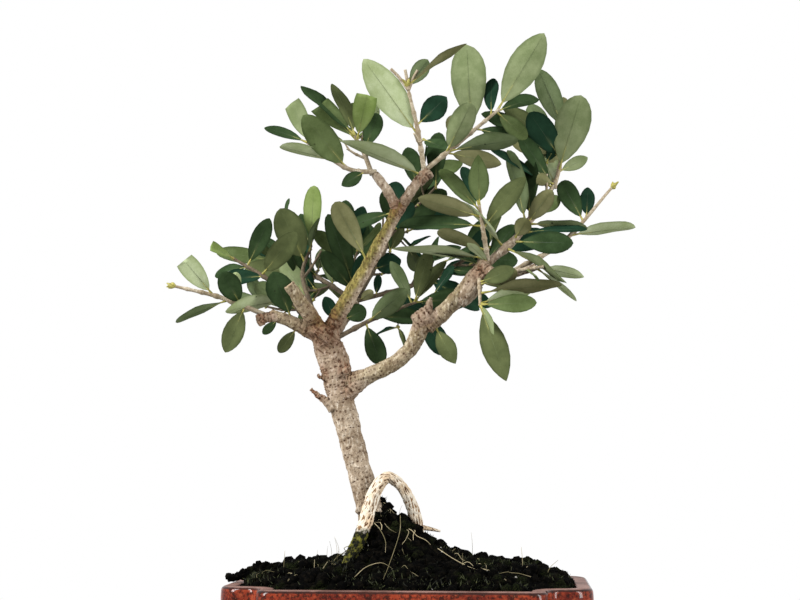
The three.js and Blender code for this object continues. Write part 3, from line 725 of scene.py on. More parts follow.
def gathered(parts):
    """Several sets of points and faces as one."""
    points = []
    faces = []
    count = 0
    for part_points, part_faces in parts:
        points.append(part_points)
        faces.extend([[corner + count for corner in face] for face in part_faces])
        count += len(part_points)
    return np.vstack(points), faces


def turned_back(stations):
    """Stations in the tree's own directions, in mm, as the pot's directions have them."""
    return (planted(stations) - POT_MIDDLE) / MM


chance = np.random.default_rng(ROOTLET_SEED)
surface = soil_points[plan_points * RINGS_OFF_EDGE:]
rootlets = []
for _ in range(LYING_ROOTLETS):
    foot = surface[chance.integers(len(surface))]
    apart = np.linalg.norm(surface - foot, axis=1)
    reach = chance.uniform(*ROOTLET_REACH)
    end = surface[np.abs(apart - reach).argsort()[chance.integers(ROOTLET_CHOICE)]]
    stations = [foot - UPWARD]
    for share in ROOTLET_SHARES:
        stray = np.array([*chance.uniform(-ROOTLET_STRAY, ROOTLET_STRAY, 2), 0])
        spot = foot * (1 - share) + end * share + stray * reach
        ground = surface[np.linalg.norm((surface - spot)[:, :2], axis=1).argmin()][2]
        spot[2] = max(spot[2], ground + chance.uniform(*ROOTLET_LIFT))
        stations.append(spot)
    thin = ROOTLET_RADIUS * chance.uniform(*ROOTLET_THICKNESS)
    rootlets.append(tube([*stations, end - UPWARD], thin * LYING_TAPER, ROOTLET_SIDES, steps=14))
for _ in range(STANDING_ROOTLETS):
    foot = surface[chance.integers(len(surface))]
    length = chance.uniform(*STANDING_LENGTH)
    sway = np.array([*chance.uniform(-STANDING_SWAY, STANDING_SWAY, 2), 0]) * length
    stations = [foot - UPWARD * STANDING_SINK, foot + UPWARD * length / 2, foot + UPWARD * length + sway]
    rootlets.append(tube(stations, ROOTLET_RADIUS * STANDING_TAPER, ROOTLET_SIDES, steps=8))
for stations in FIBRES:
    rootlets.append(tube(turned_back(stations), ROOTLET_RADIUS * FIBRE_TAPER, ROOTLET_SIDES, steps=24))
rootlet_points, rootlet_faces = gathered(rootlets)
dry_straw = two_toned("dry_straw", shade="756c46", light="c2b38c", scale=60, drift=(0.4, 0.6))
settled(piece_from("rootlets", in_pot(rootlet_points), rootlet_faces, [dry_straw]), "soil")

clump_points, clump_faces = tube(turned_back(CLUMP), radii_of(CLUMP), sides=20, steps=40)
clump_points += (roughness_at(clump_points, CLUMP_LUMP, octaves=3) * CLUMP_RELIEF)[:, None] * UPWARD
clump = piece_from("peat_clump", in_pot(clump_points), clump_faces, [soil_finish])
settled(clump, "soil")
strewn(
    "clump_crumbs", clump, crumb_tree, np.ones(len(clump_points)), soil_finish,
    Per_Square_Metre=300000.0, Smallest=0.9 * MM, Largest=4.5 * MM, Unevenness=2.0 * MM, Seed=CRUMB_SEED,
)


# The looped root: one old surface root that arches out of the mound in front of the trunk, with a thin tip.
# Its bark is pale and dry, split into short lengthwise flakes with dark cracks, and moss has taken its left
# foot.
LOOP = [
    (-36, -32, 70, 3.4), (-33.5, -30, 77, 3.3), (-28.4, -26, 88, 3.4), (-25.2, -20, 97, 3.6),
    (-22.8, -16, 106, 3.5), (-19.6, -13, 115, 3.3), (-13.8, -10.5, 121.5, 3.1), (-7, -8.5, 118.3, 3.1),
    (-0.9, -5.5, 109, 3.2), (2.2, -3.5, 100, 3.3), (4, -2, 90, 3.5),
]
ROOT_TIP = [(3, -3, 94, 2.0), (9, -2, 93.2, 1.3), (16.5, -1, 91.6, 0.6)]
LOOP_SIDES = 52
LOOP_STEPS = 300
LOOP_RADIUS = 3.0
FLAKE_TWIST = 0.5
FLAKE_WIDTH = 0.72
FLAKES_ALONG = 22
FLAKE_RELIEF = 0.6
FLAKE_CONTRAST = 0.9
LOOP_LUMP = 2.4
LOOP_LUMP_LENGTH = 2
LOOP_LUMP_RELIEF = 0.7
MOSS_TOP = 99
MOSS_FADE = 12


def marked(piece, **marks):
    """Keeps a number for each point of a piece's mesh, under each name given."""
    for name, values in marks.items():
        piece.data.attributes.new(name, "FLOAT", "POINT").data.foreach_set("value", values)


def flaky_bark():
    """Pale dry flakes over brown cracks, with the moss that has crept up the left foot."""
    tones = palette(
        crack="62432b", inner="9c7955", flake="e2c8a6", pale_flake="fbf0dc",
        moss_shade="0b0d05", moss="6f6d29",
    )
    finish = Finish("flaky_bark", roughness=0.9, specular=0.1)
    flake = finish.mark("flake")
    fine = finish.place.noise(1100, roughness=0.6)
    drift = finish.place.noise(110, roughness=0.6)
    patches = finish.place.noise(230, roughness=0.7)
    core = drift.ramp(0.4, 0.62).blend(tones.crack, tones.inner)
    ridge = drift.ramp(0.38, 0.6).blend(tones.flake, tones.pale_flake)
    wood = (flake.ramp(0.22, 0.44) * (0.7 + fine * 0.6)).blend(core, ridge)
    green = (patches.ramp(0.46, 0.64) * (0.5 + fine)).blend(tones.moss_shade, tones.moss)
    finish.colour((finish.mark("moss_cover") * (0.2 + patches * 1.5)).ramp(0.3, 0.55).blend(wood, green))
    finish.bump(flake * 0.5 + fine * 0.5, distance=0.4, strength=0.9)
    return finish


loop_along = np.linspace(0, 1, LOOP_STEPS + 1)[:, None]
twisted = circle(LOOP_SIDES) + FLAKE_TWIST * loop_along * 2 * np.pi
flake_spots = np.stack(np.broadcast_arrays(
    np.cos(twisted) * LOOP_RADIUS, np.sin(twisted) * LOOP_RADIUS, loop_along * FLAKES_ALONG,
), -1).reshape(-1, 3)
loop_flakes = roughness_at(flake_spots, FLAKE_WIDTH, octaves=3)
loop_lumps = roughness_at(flake_spots / [1, 1, LOOP_LUMP_LENGTH], LOOP_LUMP, octaves=2, start=90)
loop_swell = (loop_flakes * FLAKE_RELIEF + loop_lumps * LOOP_LUMP_RELIEF).reshape(twisted.shape)


def flaked(radius, along, angle):
    """Raises the root's flakes and lumps."""
    return radius + loop_swell


loop_part = tube(LOOP, radii_of(LOOP), LOOP_SIDES, LOOP_STEPS, flaked)
tip_part = tube(ROOT_TIP, radii_of(ROOT_TIP), sides=12, steps=20)
tip_flakes = roughness_at(tip_part[0], FLAKE_WIDTH, octaves=3)
loop_points, loop_faces = gathered([loop_part, tip_part])
loop_root = piece_from("looped_root", planted(loop_points), loop_faces, [flaky_bark()])
left_leg = loop_points[:, 0] < PEAK_X + MOUND_X
marked(
    loop_root,
    flake=np.clip(np.concatenate([loop_flakes, tip_flakes]) * FLAKE_CONTRAST + 0.5, 0, 1),
    moss_cover=np.clip((MOSS_TOP - loop_points[:, 2]) / MOSS_FADE, 0, 1) * left_leg,
)
settled(loop_root, "root_bark", "looped_root_left", "looped_root_right")


# The trunk and boughs: grey-beige olive wood, one body from the flat cut in the soil to the cut twig ends.
# Short dead ends and swellings of the old wood stand on it, each from point to point with its own radii.
# Its thin bark is pitted in rows, wrinkled at the forks and greened by algae on the leader's upper side.
LIMBS = {
    "trunk": [(-21.8, 0, 99, 7.7), (-30, 0, 128, 6.7), (-40, 0, 166, 7.1), (-49.5, 0, 204, 8.4)],
    "cut_stub": [(-50, -1, 203, 4.5), (-69.5, -15, 230, 3.6)],
    "left_bough": [(-51, -1, 201, 4.8), (-66, -5, 209, 3.7), (-80, -9, 214, 3.0)],
    "leader": [(-48, -1, 203, 4.7), (-27, -7, 238, 4.0), (-6.5, -12, 275, 3.3)],
    "upper_left_bough": [(-7, -12, 273, 2.9), (-14, -14, 285, 2.7), (-21, -15, 294, 2.5)],
    "upper_right_bough": [(-7, -12, 273, 3), (1, -11, 286, 2.9), (7, -10, 294, 2.9)],
    "right_bough": [(-40, 0, 175, 5.4), (-22, -6, 180, 4.4), (-3, -8, 191, 4.3), (9, -9, 213, 5)],
    "right_bough_upper": [(9, -9, 206, 4.4), (26, -8, 222.5, 4.7), (43, -5, 243, 4.3)],
    "right_limb": [(42, -5, 242, 2.6), (58, -3, 256, 2.4), (72.5, 0, 274, 2.2)],
    "right_spur": [(41, -6, 243, 2.6), (46, -13, 237, 2.8), (49, -19, 234, 3)],
    "back_bough": [(-47, 2, 199, 5.2), (-42, 14, 211, 4.4), (-33, 26, 224, 3.4)],
}
DEAD_ENDS = {
    "trunk_snag": [(-44, -3, 160, 3.0), (-49, -4, 165.5, 2.0), (-53, -5, 168, 1.5), (-57, -5, 171.5, 1.3)],
    "upper_snag": [(-46, -3, 175, 2.2), (-50, -4, 177.5, 1.5), (-53.5, -5, 179.5, 1.2)],
    "foot_knob": [(-26, -4, 102, 3.8), (-31, -5, 104.5, 2.6)],
    "bough_union": [(-38, -1, 167.5, 5.2), (-32, -3, 173, 4.8), (-25, -5, 178.5, 4.3)],
    "scar_ridge": [(-41, -6, 180.5, 2.0), (-37, -7, 182, 1.7), (-34, -6, 183.5, 1.2)],
    "fork_collar": [(-52, -4, 199, 8.6), (-47, -3, 205, 8.0)],
    "bough_knob": [(3, -9, 208, 5.4), (10, -9, 213, 6.2)],
    "bough_snag": [(9, -9, 212, 3.0), (10, -10, 219, 2.0), (11.5, -10, 223.5, 1.0)],
    "left_break": [(-78, -9, 212.5, 3.0), (-88, -12, 210.5, 2.5)],
    "left_break_lower": [(-83, -11, 211, 2.2), (-86, -13, 207, 1.5)],
    "neck_swell": [(-41, -1, 178, 7.0), (-42.5, -1, 187, 7.6), (-46, -1, 197, 7.4)],
    "upper_knob": [(4, -10, 290, 3.2), (11, -10, 296, 3.7)],
    "bough_burr": [(27, -8, 221, 4.4), (32.5, -9, 226, 5.0), (37, -9, 233, 4.6)],
    "spur_knob": [(36, -8, 236, 4.0), (42, -11, 233, 3.4)],
    "right_snag": [(52, -14, 234, 2.2), (66, -16, 238, 1.9), (71, -17, 240, 2.2)],
}
FLARE_HEIGHT = 0.16
FLARE_SPREAD = 0.26
FLARE_LOBES = 5
FLARE_DEPTH = 0.4
FOOT_RUN = 14
WOOD_SIDES = 28
WOOD_STEP = 1.2
LEAST_WOOD_STEPS = 8
VOXEL = 0.5
SOFTENING = 0.5
SOFTENING_ROUNDS = 5
LIMB_SPOTS = 60
LIMB_APART = 37
POINTS_AT_ONCE = 4000
PIT_SPACING = (2.7, 3.4)
PIT_SIZE = (0.72, 0.5)
PIT_RIM_SIZE = (1.5, 1.1)
PIT_SHARE = 0.9
FINE_PIT_SPACING = (1.9, 2.6)
FINE_PIT_SIZE = (0.42, 0.34)
FINE_PIT_SHARE = 0.5
FINE_PIT_DEPTH = 0.6
FINE_PIT_SEED = 4.0
YOUNG_PITS = 0.5
PIT_PLACES = ((0.2, 0.6), (0.3, 0.4))
PIT_VARIETY = (0.6, 0.7)
PIT_EDGE = 1.3
BAND_CONTRAST = 0.8
BAND_LIMITS = (0.5, 1.25)
HASH_WAVES = ((12.9898, 78.233), (39.346, 11.135), (73.156, 52.235), (9.151, 27.917))
HASH_SCALE = 43758.5453
PIT_DEPTH = 0.5
PIT_RIM_RISE = 0.15
RIDGE_RISE = 0.2
LUMP_SIZE = 6.0
LUMP_RISE = 0.5
BEND_LENGTH = 19.0
BEND_RISE = 0.7
WRINKLE_RISE = 0.12
KNOT_WRINKLE_RISE = 0.65
KNOTS = [
    (-36, -3, 173), (-37, -6, 183), (8, -9, 211), (-84, -11, 211), (6, -10, 292),
    (40, -9, 238), (-7, -12, 275), (-54, -5, 169), (-52, -5, 179),
]
KNOT_SPREAD = 7
FORK = (-48, -4, 205)
FORK_SPREAD = 14
# Painted shade in the fork's crotch: how far it spreads, how dark it is on the whole, how patchy, and its
# most.
FORK_SHADE_SPREAD = 10
FORK_SHADE_SHARE = 0.45
FORK_SHADE_CONTRAST = 0.8
DARKEST_FORK_SHADE = 0.7
WRINKLE_DARKNESS = 2.6
DARKEST_WRINKLE = 0.85
RIDGE_DARKNESS = 0.5
DARKEST_RIDGE = 0.35
YOUNG_WOOD = ("upper_left_bough", "upper_right_bough", "right_limb", "right_spur")
GREENED_WOOD = ("right_bough", "right_bough_upper", "left_bough", "cut_stub")
FAINT_ALGAE = 0.42
ALGAE_SIDE = (-0.6, -0.5, 0.55)
ALGAE_CONTRAST = 0.7
ALGAE_SHARE = 0.45
FORK_ALGAE = (-51, -6, 210)
FORK_ALGAE_SPREAD = 8
FORK_ALGAE_STRENGTH = 0.8
CUT_ENDS = {"cut_stub": 1.0, "right_limb": 0.6, "upper_right_bough": 0.5}
CUT_BREADTH = 0.82
CUT_DEPTH = 0.9


def limb_tube(stations, flare=0.0):
    """A limb's plain tube, spread in lobes at its foot where it flares."""
    length = sum(math.dist(a[:3], b[:3]) for a, b in zip(stations, stations[1:]))
    steps = max(LEAST_WOOD_STEPS, int(length / WOOD_STEP))

    def spread(radius, along, angle):
        lobes = 1 - FLARE_DEPTH * (1 - np.cos(FLARE_LOBES * angle))
        return radius * (1 + flare * lobes * np.exp(-along / FLARE_HEIGHT))

    return tube(stations, radii_of(stations), WOOD_SIDES, steps, spread)


def grown_piece(name, parts, finishes, face_finishes=None):
    """A piece of several sets of points and faces in the tree's own directions."""
    points, faces = gathered(parts)
    return piece_from(name, planted(points), faces, finishes, face_finishes)


def olive_bark():
    """Grey-beige bark, brown in its pits and scars and in a painted shade in the fork's crotch, green with
    algae where marked, pale where cut.
    """
    tones = palette(
        shade="9a866e", light="c3b098", pale="f3e5d0", dusk="70573f", green="645d2e", pale_green="aa9c58",
        rust="8a5a3c", pit="523521", sawn="a98c70", pale_sawn="cfb99c",
    )
    finish = Finish("olive_bark", roughness=0.85, specular=0.1)
    pit = finish.mark("pits")
    broad = finish.place.noise(75)
    grain = finish.place.stretched((1.0, 1.0, 0.4)).noise(560, detail=4, roughness=0.68)
    fine = finish.place.noise(1700, roughness=0.6)
    rows = finish.place.stretched((0.5, 0.5, 1.6)).noise(230, detail=2, roughness=0.5)
    mould = finish.place.noise(300, roughness=0.65)
    specks = finish.place.stretched((0.85, 0.85, 1.3)).cells(560).ramp(0.3, 0.14) * rows.ramp(0.52, 0.6)
    tone = broad.ramp(0.34, 0.66).blend(tones.shade, tones.light)
    streaked = grain.ramp(0.5, 0.66).blend(tone, tones.pale, strength=0.85)
    dusky = grain.ramp(0.45, 0.3).blend(streaked, tones.dusk, strength=0.75)
    wash = grain.ramp(0.35, 0.68).blend(tones.green, tones.pale_green)
    greened = (finish.mark("algae") * (0.45 + mould * 1.1)).ramp(0.15, 0.9).blend(dusky, wash)
    rusty = (finish.mark("scars") * grain.ramp(0.36, 0.6)).blend(greened, tones.rust)
    # The pits mark also carries the painted shade in the fork's crotch, which takes the pits' brown.
    pitted = pit.math("MAXIMUM", pit, specks * 0.3).blend(rusty, tones.pit)
    sawn = fine.ramp(0.4, 0.65).blend(tones.sawn, tones.pale_sawn)
    finish.colour(finish.mark("cuts").blend(pitted, sawn))
    finish.bump(grain * 0.6 + fine * 0.4 - specks * 0.4, distance=0.45, strength=0.9)
    return finish


trunk_foot, trunk_above = (np.array(station) for station in LIMBS["trunk"][:2])
foot_run = FOOT_RUN / (trunk_above[2] - trunk_foot[2])
rooted = [tuple(trunk_foot - (trunk_above - trunk_foot) * foot_run), *LIMBS["trunk"]]
wood_paths = {**LIMBS, **DEAD_ENDS}
wood_parts = [limb_tube(rooted, FLARE_SPREAD)]
wood_parts += [limb_tube(stations) for name, stations in wood_paths.items() if name != "trunk"]
wood = grown_piece("trunk_and_boughs", wood_parts, [olive_bark()])
skin = wood.modifiers.new("skin", "REMESH")
skin.mode = "VOXEL"
skin.voxel_size = VOXEL * MM
soften = wood.modifiers.new("soften", "SMOOTH")
soften.factor = SOFTENING
soften.iterations = SOFTENING_ROUNDS
baked_mesh(wood)

# Each point of the skin belongs to the limb whose surface is nearest, and has a place along and round it.
limb_names = list(LIMBS)
limb_rows = []
run_so_far = 0.0
for name, stations in wood_paths.items():
    along = np.linspace(0, 1, LIMB_SPOTS)
    spots = spot_on(stations, along)
    _, side, front = frame_on(stations, along)
    run = run_so_far + np.concatenate([[0], np.cumsum(np.linalg.norm(np.diff(spots, axis=0), axis=1))])
    number = np.full(LIMB_SPOTS, limb_names.index(name) if name in LIMBS else len(LIMBS))
    limb_rows.append(np.column_stack([spots, side, front, between(radii_of(stations), along), run, number]))
    run_so_far = run[-1] + LIMB_APART
limb_rows = np.vstack(limb_rows)

count = len(wood.data.vertices)
skin_points = np.empty(count * 3)
skin_normals = np.empty(count * 3)
wood.data.vertices.foreach_get("co", skin_points)
wood.data.vertex_normals.foreach_get("vector", skin_normals)
skin_points = skin_points.reshape(-1, 3)
skin_normals = skin_normals.reshape(-1, 3)
x, y, z = ((skin_points - POT_MIDDLE) / MM).T
tree_points = np.column_stack([*along_tree(x, y), z])
owner = np.empty(count, int)
for first in range(0, count, POINTS_AT_ONCE):
    part = tree_points[first:first + POINTS_AT_ONCE]
    gap = np.linalg.norm(part[:, None] - limb_rows[None, :, :3], axis=2) - limb_rows[:, 9]
    owner[first:first + POINTS_AT_ONCE] = gap.argmin(1)
middle, side, front, (radius, run, limb_number) = (
    limb_rows[owner, :3], limb_rows[owner, 3:6], limb_rows[owner, 6:9], limb_rows[owner, 9:].T,
)
off = tree_points - middle
around = np.arctan2((off * side).sum(1), (off * -front).sum(1)) * radius
down = run + (off * np.cross(side, front)).sum(1)


def scattered_pits(spacing, size, share, seed=0.0):
    """1 in the middle of pits strewn over the skin, one to a cell, some cells empty, and 0 between them.

    The cells' spacing and the pits' size are each given round the limb and along it.
    """
    depth = np.zeros(count)
    (least_across, more_across), (least_along, more_along) = PIT_PLACES
    for right in (-1, 0, 1):
        for up in (-1, 0, 1):
            column = np.floor(around / spacing[0]) + right
            row = np.floor(down / spacing[1]) + up
            draws = [np.mod(np.sin(column * a + row * b + seed) * HASH_SCALE, 1.0) for a, b in HASH_WAVES]
            across = around - (column + least_across + more_across * draws[0]) * spacing[0]
            along = down - (row + least_along + more_along * draws[1]) * spacing[1]
            bigness = PIT_VARIETY[0] + PIT_VARIETY[1] * draws[3]
            reach = np.hypot(across / size[0], along / size[1]) / bigness
            depth = np.maximum(depth, np.where(draws[2] < share, np.clip(PIT_EDGE - reach, 0, 1), 0))
    return depth


def bark_pattern(wide, tall, apart, octaves):
    """Chance that is stretched round each limb and along it, with a pattern of its own on each."""
    return roughness_at(np.column_stack([around / wide, down / tall, limb_number * apart]), 1.0, octaves)


def on_limbs(*names):
    """Which points of the skin belong to the limbs named."""
    return np.isin(limb_number, [limb_names.index(name) for name in names])


def near(spot, spread):
    """1 at a spot in the wood, fading out with distance."""
    return np.exp(-((tree_points - spot) ** 2).sum(1) / spread ** 2)


pits = np.maximum(
    scattered_pits(PIT_SPACING, PIT_SIZE, PIT_SHARE),
    FINE_PIT_DEPTH * scattered_pits(FINE_PIT_SPACING, FINE_PIT_SIZE, FINE_PIT_SHARE, FINE_PIT_SEED),
)
bands = np.clip(1.0 + bark_pattern(wide=8.0, tall=3.0, apart=5, octaves=2) * BAND_CONTRAST, *BAND_LIMITS)
pits *= bands * np.where(on_limbs(*YOUNG_WOOD), YOUNG_PITS, 1.0)
rims = scattered_pits(PIT_SPACING, PIT_RIM_SIZE, PIT_SHARE)
ridges = bark_pattern(wide=1.3, tall=7.0, apart=7, octaves=3)
wrinkles = bark_pattern(wide=5.0, tall=1.1, apart=3, octaves=3)
lumps = roughness_at(tree_points, LUMP_SIZE, octaves=3)
bends = roughness_at(tree_points, BEND_LENGTH, octaves=2, start=300)
knotted = np.maximum.reduce([near(FORK, FORK_SPREAD)] + [near(knot, KNOT_SPREAD) for knot in KNOTS])
relief = lumps * LUMP_RISE + bends * BEND_RISE + ridges * RIDGE_RISE + rims * PIT_RIM_RISE
relief += wrinkles * (WRINKLE_RISE + KNOT_WRINKLE_RISE * knotted) - pits * PIT_DEPTH
skin_points += skin_normals * (relief * MM)[:, None]
wood.data.vertices.foreach_set("co", skin_points.ravel())

upper_left_side = np.clip(skin_normals @ unit(ALGAE_SIDE) * ALGAE_CONTRAST + ALGAE_SHARE, 0, 1)
algae = upper_left_side * on_limbs("leader") + FAINT_ALGAE * on_limbs(*GREENED_WOOD)
algae = np.maximum(algae, near(FORK_ALGAE, FORK_ALGAE_SPREAD) * FORK_ALGAE_STRENGTH)
cuts = np.zeros(count)
for name, strength in CUT_ENDS.items():
    before, (*end, end_radius) = LIMBS[name][-2:]
    heading = unit(np.subtract(end, before[:3]))
    past = (tree_points - end) @ heading
    close = np.linalg.norm(tree_points - end, axis=1) < end_radius * CUT_BREADTH
    cuts = np.maximum(cuts, np.where((past > -CUT_DEPTH) & close, strength, 0))
# Painted shade: the fork's crotch is darkened in patches, as if in shadow.
fork_shade = near(FORK, FORK_SHADE_SPREAD) * np.clip(FORK_SHADE_SHARE + lumps * FORK_SHADE_CONTRAST, 0, DARKEST_FORK_SHADE)
wrinkled = np.clip(-wrinkles * knotted * WRINKLE_DARKNESS, 0, DARKEST_WRINKLE)
grooved = np.clip(-ridges * RIDGE_DARKNESS, 0, DARKEST_RIDGE)
dark = np.clip(pits + wrinkled + grooved + fork_shade, 0, 1)
# The pits mark holds the pits, the darkened wrinkles and grooves, and the painted shade at the fork.
marked(wood, pits=dark * (1 - cuts), algae=algae, cuts=cuts, scars=knotted * (1 - cuts))
wood.data.shade_smooth()
wood.data.update()
settled(wood, "bark", *LIMBS)


# The shoots: slender pale twigs that grow on from the boughs' ends and from the fork, one for each mass.
# Leaves stand on them in opposite pairs, each pair turned across the last, and side twigs leave by turns.
STEM_SEAT = 0.55
STEM_RADII = (1.495, 1.3, 0.8)
TWIG_RADIUS = 0.9
TWIG_TAPER = np.array([1, 0.85, 0.67])
KNUCKLE_LENGTH = 0.022
KNUCKLE_RISE = 0.38
STUB_SEAT = 0.95
STUB_ENDS = np.array([(-11.5, -22, 353.5), (-3.3, -22, 353), (4, -21, 353)])
STUB_RADII = (0.95, 0.95, 0.855)
LEAF_ASPECT = 0.42
LEAF_SINK = 1.2
LEAF_CLEARANCE = 1.4
LEAF_BELLY = 0.6
LAYERING = 2.2
SPACE_MARGIN = 1.2
BEADS = 16
CROWDING = 6.5
FLATNESS = 0.6
FIRST_PAIR = 0.1
PAIR_TURN = 80
PAIR_TURN_SPREAD = 40
LEAF_OPENING = 54
TIP_LEAF_OPENING = 34
OPENING_SPREAD = 34
SHORTEST_LEAF = 0.66
LEAF_SPREAD = 0.45
CURL_SPREAD = 0.16
CURL_OFFSET = 0.35
SWAY = 1.5
FIRST_TWIG = 0.18
TWIG_RUN = 0.66
TWIG_TURN = 137
TWIG_TURN_SPREAD = 80
TWIG_FORWARD = 0.6
TWIG_OUTWARD = 0.8
TWIG_RISE = 0.2
SHORTEST_TWIG = 0.65
TWIG_SPREAD = 0.7
TWIG_SAG = 0.05
TWIG_PAIRS = 2
TWIG_FEELERS = (0.5, 0.75, 1)
STEM_LEAF = 0.9
TWIG_LEAF = 0.78
INNER_LEAF = 1.2
OPEN_FRONT = -70
INNER_FRONT = 3
TWIGLETS = 2
TWIGLET_SHARE = 0.6
TWIGLET_LEAF = 0.6
TWIGLET_SEED = 500
TWIGLET_RADIUS = 0.6
CROWN_MIDDLE = np.array([-5, 270])
CROWN_SECTOR = math.radians(12)
LIGHT = np.array([0.1, -0.8, 0.6])
LEAF_FEELERS = (0.25, 0.4, 0.55, 0.7, 0.85)
LEAF_BREADTHS = (-1, -0.5, 0, 0.5, 1)
COVER_FEELERS = (0.4, 0.7, 1)

# How a mass grows where its row doesn't say otherwise, by its place in the light: how far forward it may
# reach, how often each of the five tints comes, and how many of its leaves show their undersides.
# Dealing darker tints to the shaded masses than to the sunny ones is painted shade.
PLACES = {
    "sunny": {"front": OPEN_FRONT, "tints": (0.12, 0.2, 0.36, 0.16, 0.16), "shows_under": 0.72},
    "mixed": {"front": OPEN_FRONT, "tints": (0.15, 0.3, 0.35, 0.08, 0.12), "shows_under": 0.5},
    "shaded": {"front": INNER_FRONT, "tints": (0.32, 0.5, 0.13, 0.0, 0.05), "shows_under": 0.15},
}
PLAIN_GROWTH = {"along": 1, "perch": 0, "bow": (0, 0, 0), "last": 1, "bare": 1}
CROWN = {
    "foliage_left_low": dict(
        place="mixed", limb="left_bough", tip=(-134, -16, 229), bow=(0, 0, 2), pairs=5, last=0.86, roll=130,
        lift=0.2, leaf=28, twigs=2, twig=14, bare=0.45, seed=27),
    "foliage_left_high": dict(
        place="shaded", limb="trunk", along=0.93, perch=110, tip=(-104, 10, 249), bow=(-3, 0, 9), pairs=5,
        roll=-15, lift=0.4, leaf=27, twigs=3, twig=16, bare=0.95, seed=17, front=-2),
    "foliage_left_crest": dict(
        place="shaded", limb="trunk", along=0.97, perch=80, tip=(-59, 20, 258), bow=(-9, 4, 8), pairs=4,
        roll=60, lift=0.6, leaf=32, twigs=3, twig=18, seed=41, front=-1),
    "foliage_centre_low": dict(
        place="shaded", limb="trunk", along=0.94, perch=30, tip=(3, 18, 224), bow=(2, 2, 3), pairs=4,
        roll=110, lift=0.4, leaf=31, twigs=3, twig=18, seed=11, front=0),
    "foliage_upper_left": dict(
        place="sunny", limb="upper_left_bough", tip=(-32, -14, 316), bow=(0, 0, 2), pairs=3, roll=-25,
        lift=0.4, leaf=30, twigs=2, twig=14, seed=80),
    "foliage_upper_left_outer": dict(
        place="sunny", limb="upper_left_bough", perch=180, tip=(-58, -32, 308), bow=(3, 2, -6), pairs=4,
        roll=25, lift=0.4, leaf=34, twigs=3, twig=14, bare=-1, seed=24),
    "foliage_apex_left": dict(
        place="mixed", limb="upper_right_bough", perch=180, tip=(-2, -20, 344), bow=(1, 0, 0), pairs=4,
        last=0.9, roll=-65, lift=-0.2, leaf=44, twigs=2, twig=14, bare=0.45, seed=59),
    "foliage_apex": dict(
        place="sunny", limb="upper_right_bough", tip=(51, -14, 332), bow=(0, 1, 0), pairs=5, roll=-180,
        lift=0.4, leaf=46, twigs=3, twig=20, seed=128),
    "foliage_right_crest": dict(
        place="mixed", limb="right_bough_upper", perch=180, tip=(39, -14, 276), pairs=5, roll=-60,
        lift=0.2, leaf=34, twigs=4, twig=20, seed=63),
    "foliage_upper_right": dict(
        place="sunny", limb="right_limb", tip=(93, 22, 328), bow=(4, 4, -5), pairs=5, roll=-20,
        lift=0.4, leaf=44, twigs=4, twig=22, seed=38),
    "foliage_right": dict(
        place="sunny", limb="right_spur", perch=90, tip=(118, 4, 290), bow=(3, 0, -6), pairs=5, last=0.62,
        roll=-145, lift=0, leaf=36, twigs=3, twig=18, bare=0.15, seed=74),
    "foliage_right_front": dict(
        place="sunny", limb="right_spur", perch=330, tip=(74, -30, 238), pairs=5, roll=100,
        lift=-0.2, leaf=35, twigs=3, twig=16, bare=0.85, seed=55),
    "foliage_right_low": dict(
        place="mixed", limb="right_bough_upper", along=0.85, perch=240, tip=(38.5, -24, 217),
        bow=(0, -2, 2), pairs=2, roll=-110, lift=-0.2, leaf=42, twigs=1, twig=12, bare=-1, seed=1),
    "foliage_centre": dict(
        place="shaded", limb="back_bough", perch=180, tip=(-40, 32, 260), bow=(0, 2, 0), pairs=5, roll=-80,
        lift=0.5, leaf=32, twigs=4, twig=18, seed=7),
    "foliage_back_left": dict(
        place="shaded", limb="back_bough", perch=270, tip=(-84, 58, 254), bow=(0, 4, 4), pairs=5, roll=-10,
        lift=0.2, leaf=34, twigs=3, twig=20, seed=58),
    "foliage_back_high": dict(
        place="shaded", limb="back_bough", perch=90, tip=(4, 54, 300), bow=(0, 6, 0), pairs=5, roll=-170,
        lift=0.4, leaf=36, twigs=4, twig=22, seed=44),
    "foliage_back_right": dict(
        place="shaded", limb="back_bough", tip=(48, 50, 262), bow=(0, 6, -4), pairs=6, roll=-170,
        lift=0.2, leaf=36, twigs=4, twig=24, seed=76),
}
mass_names = list(CROWN)
masses = [{**PLAIN_GROWTH, **PLACES[mass["place"]], **mass} for mass in CROWN.values()]

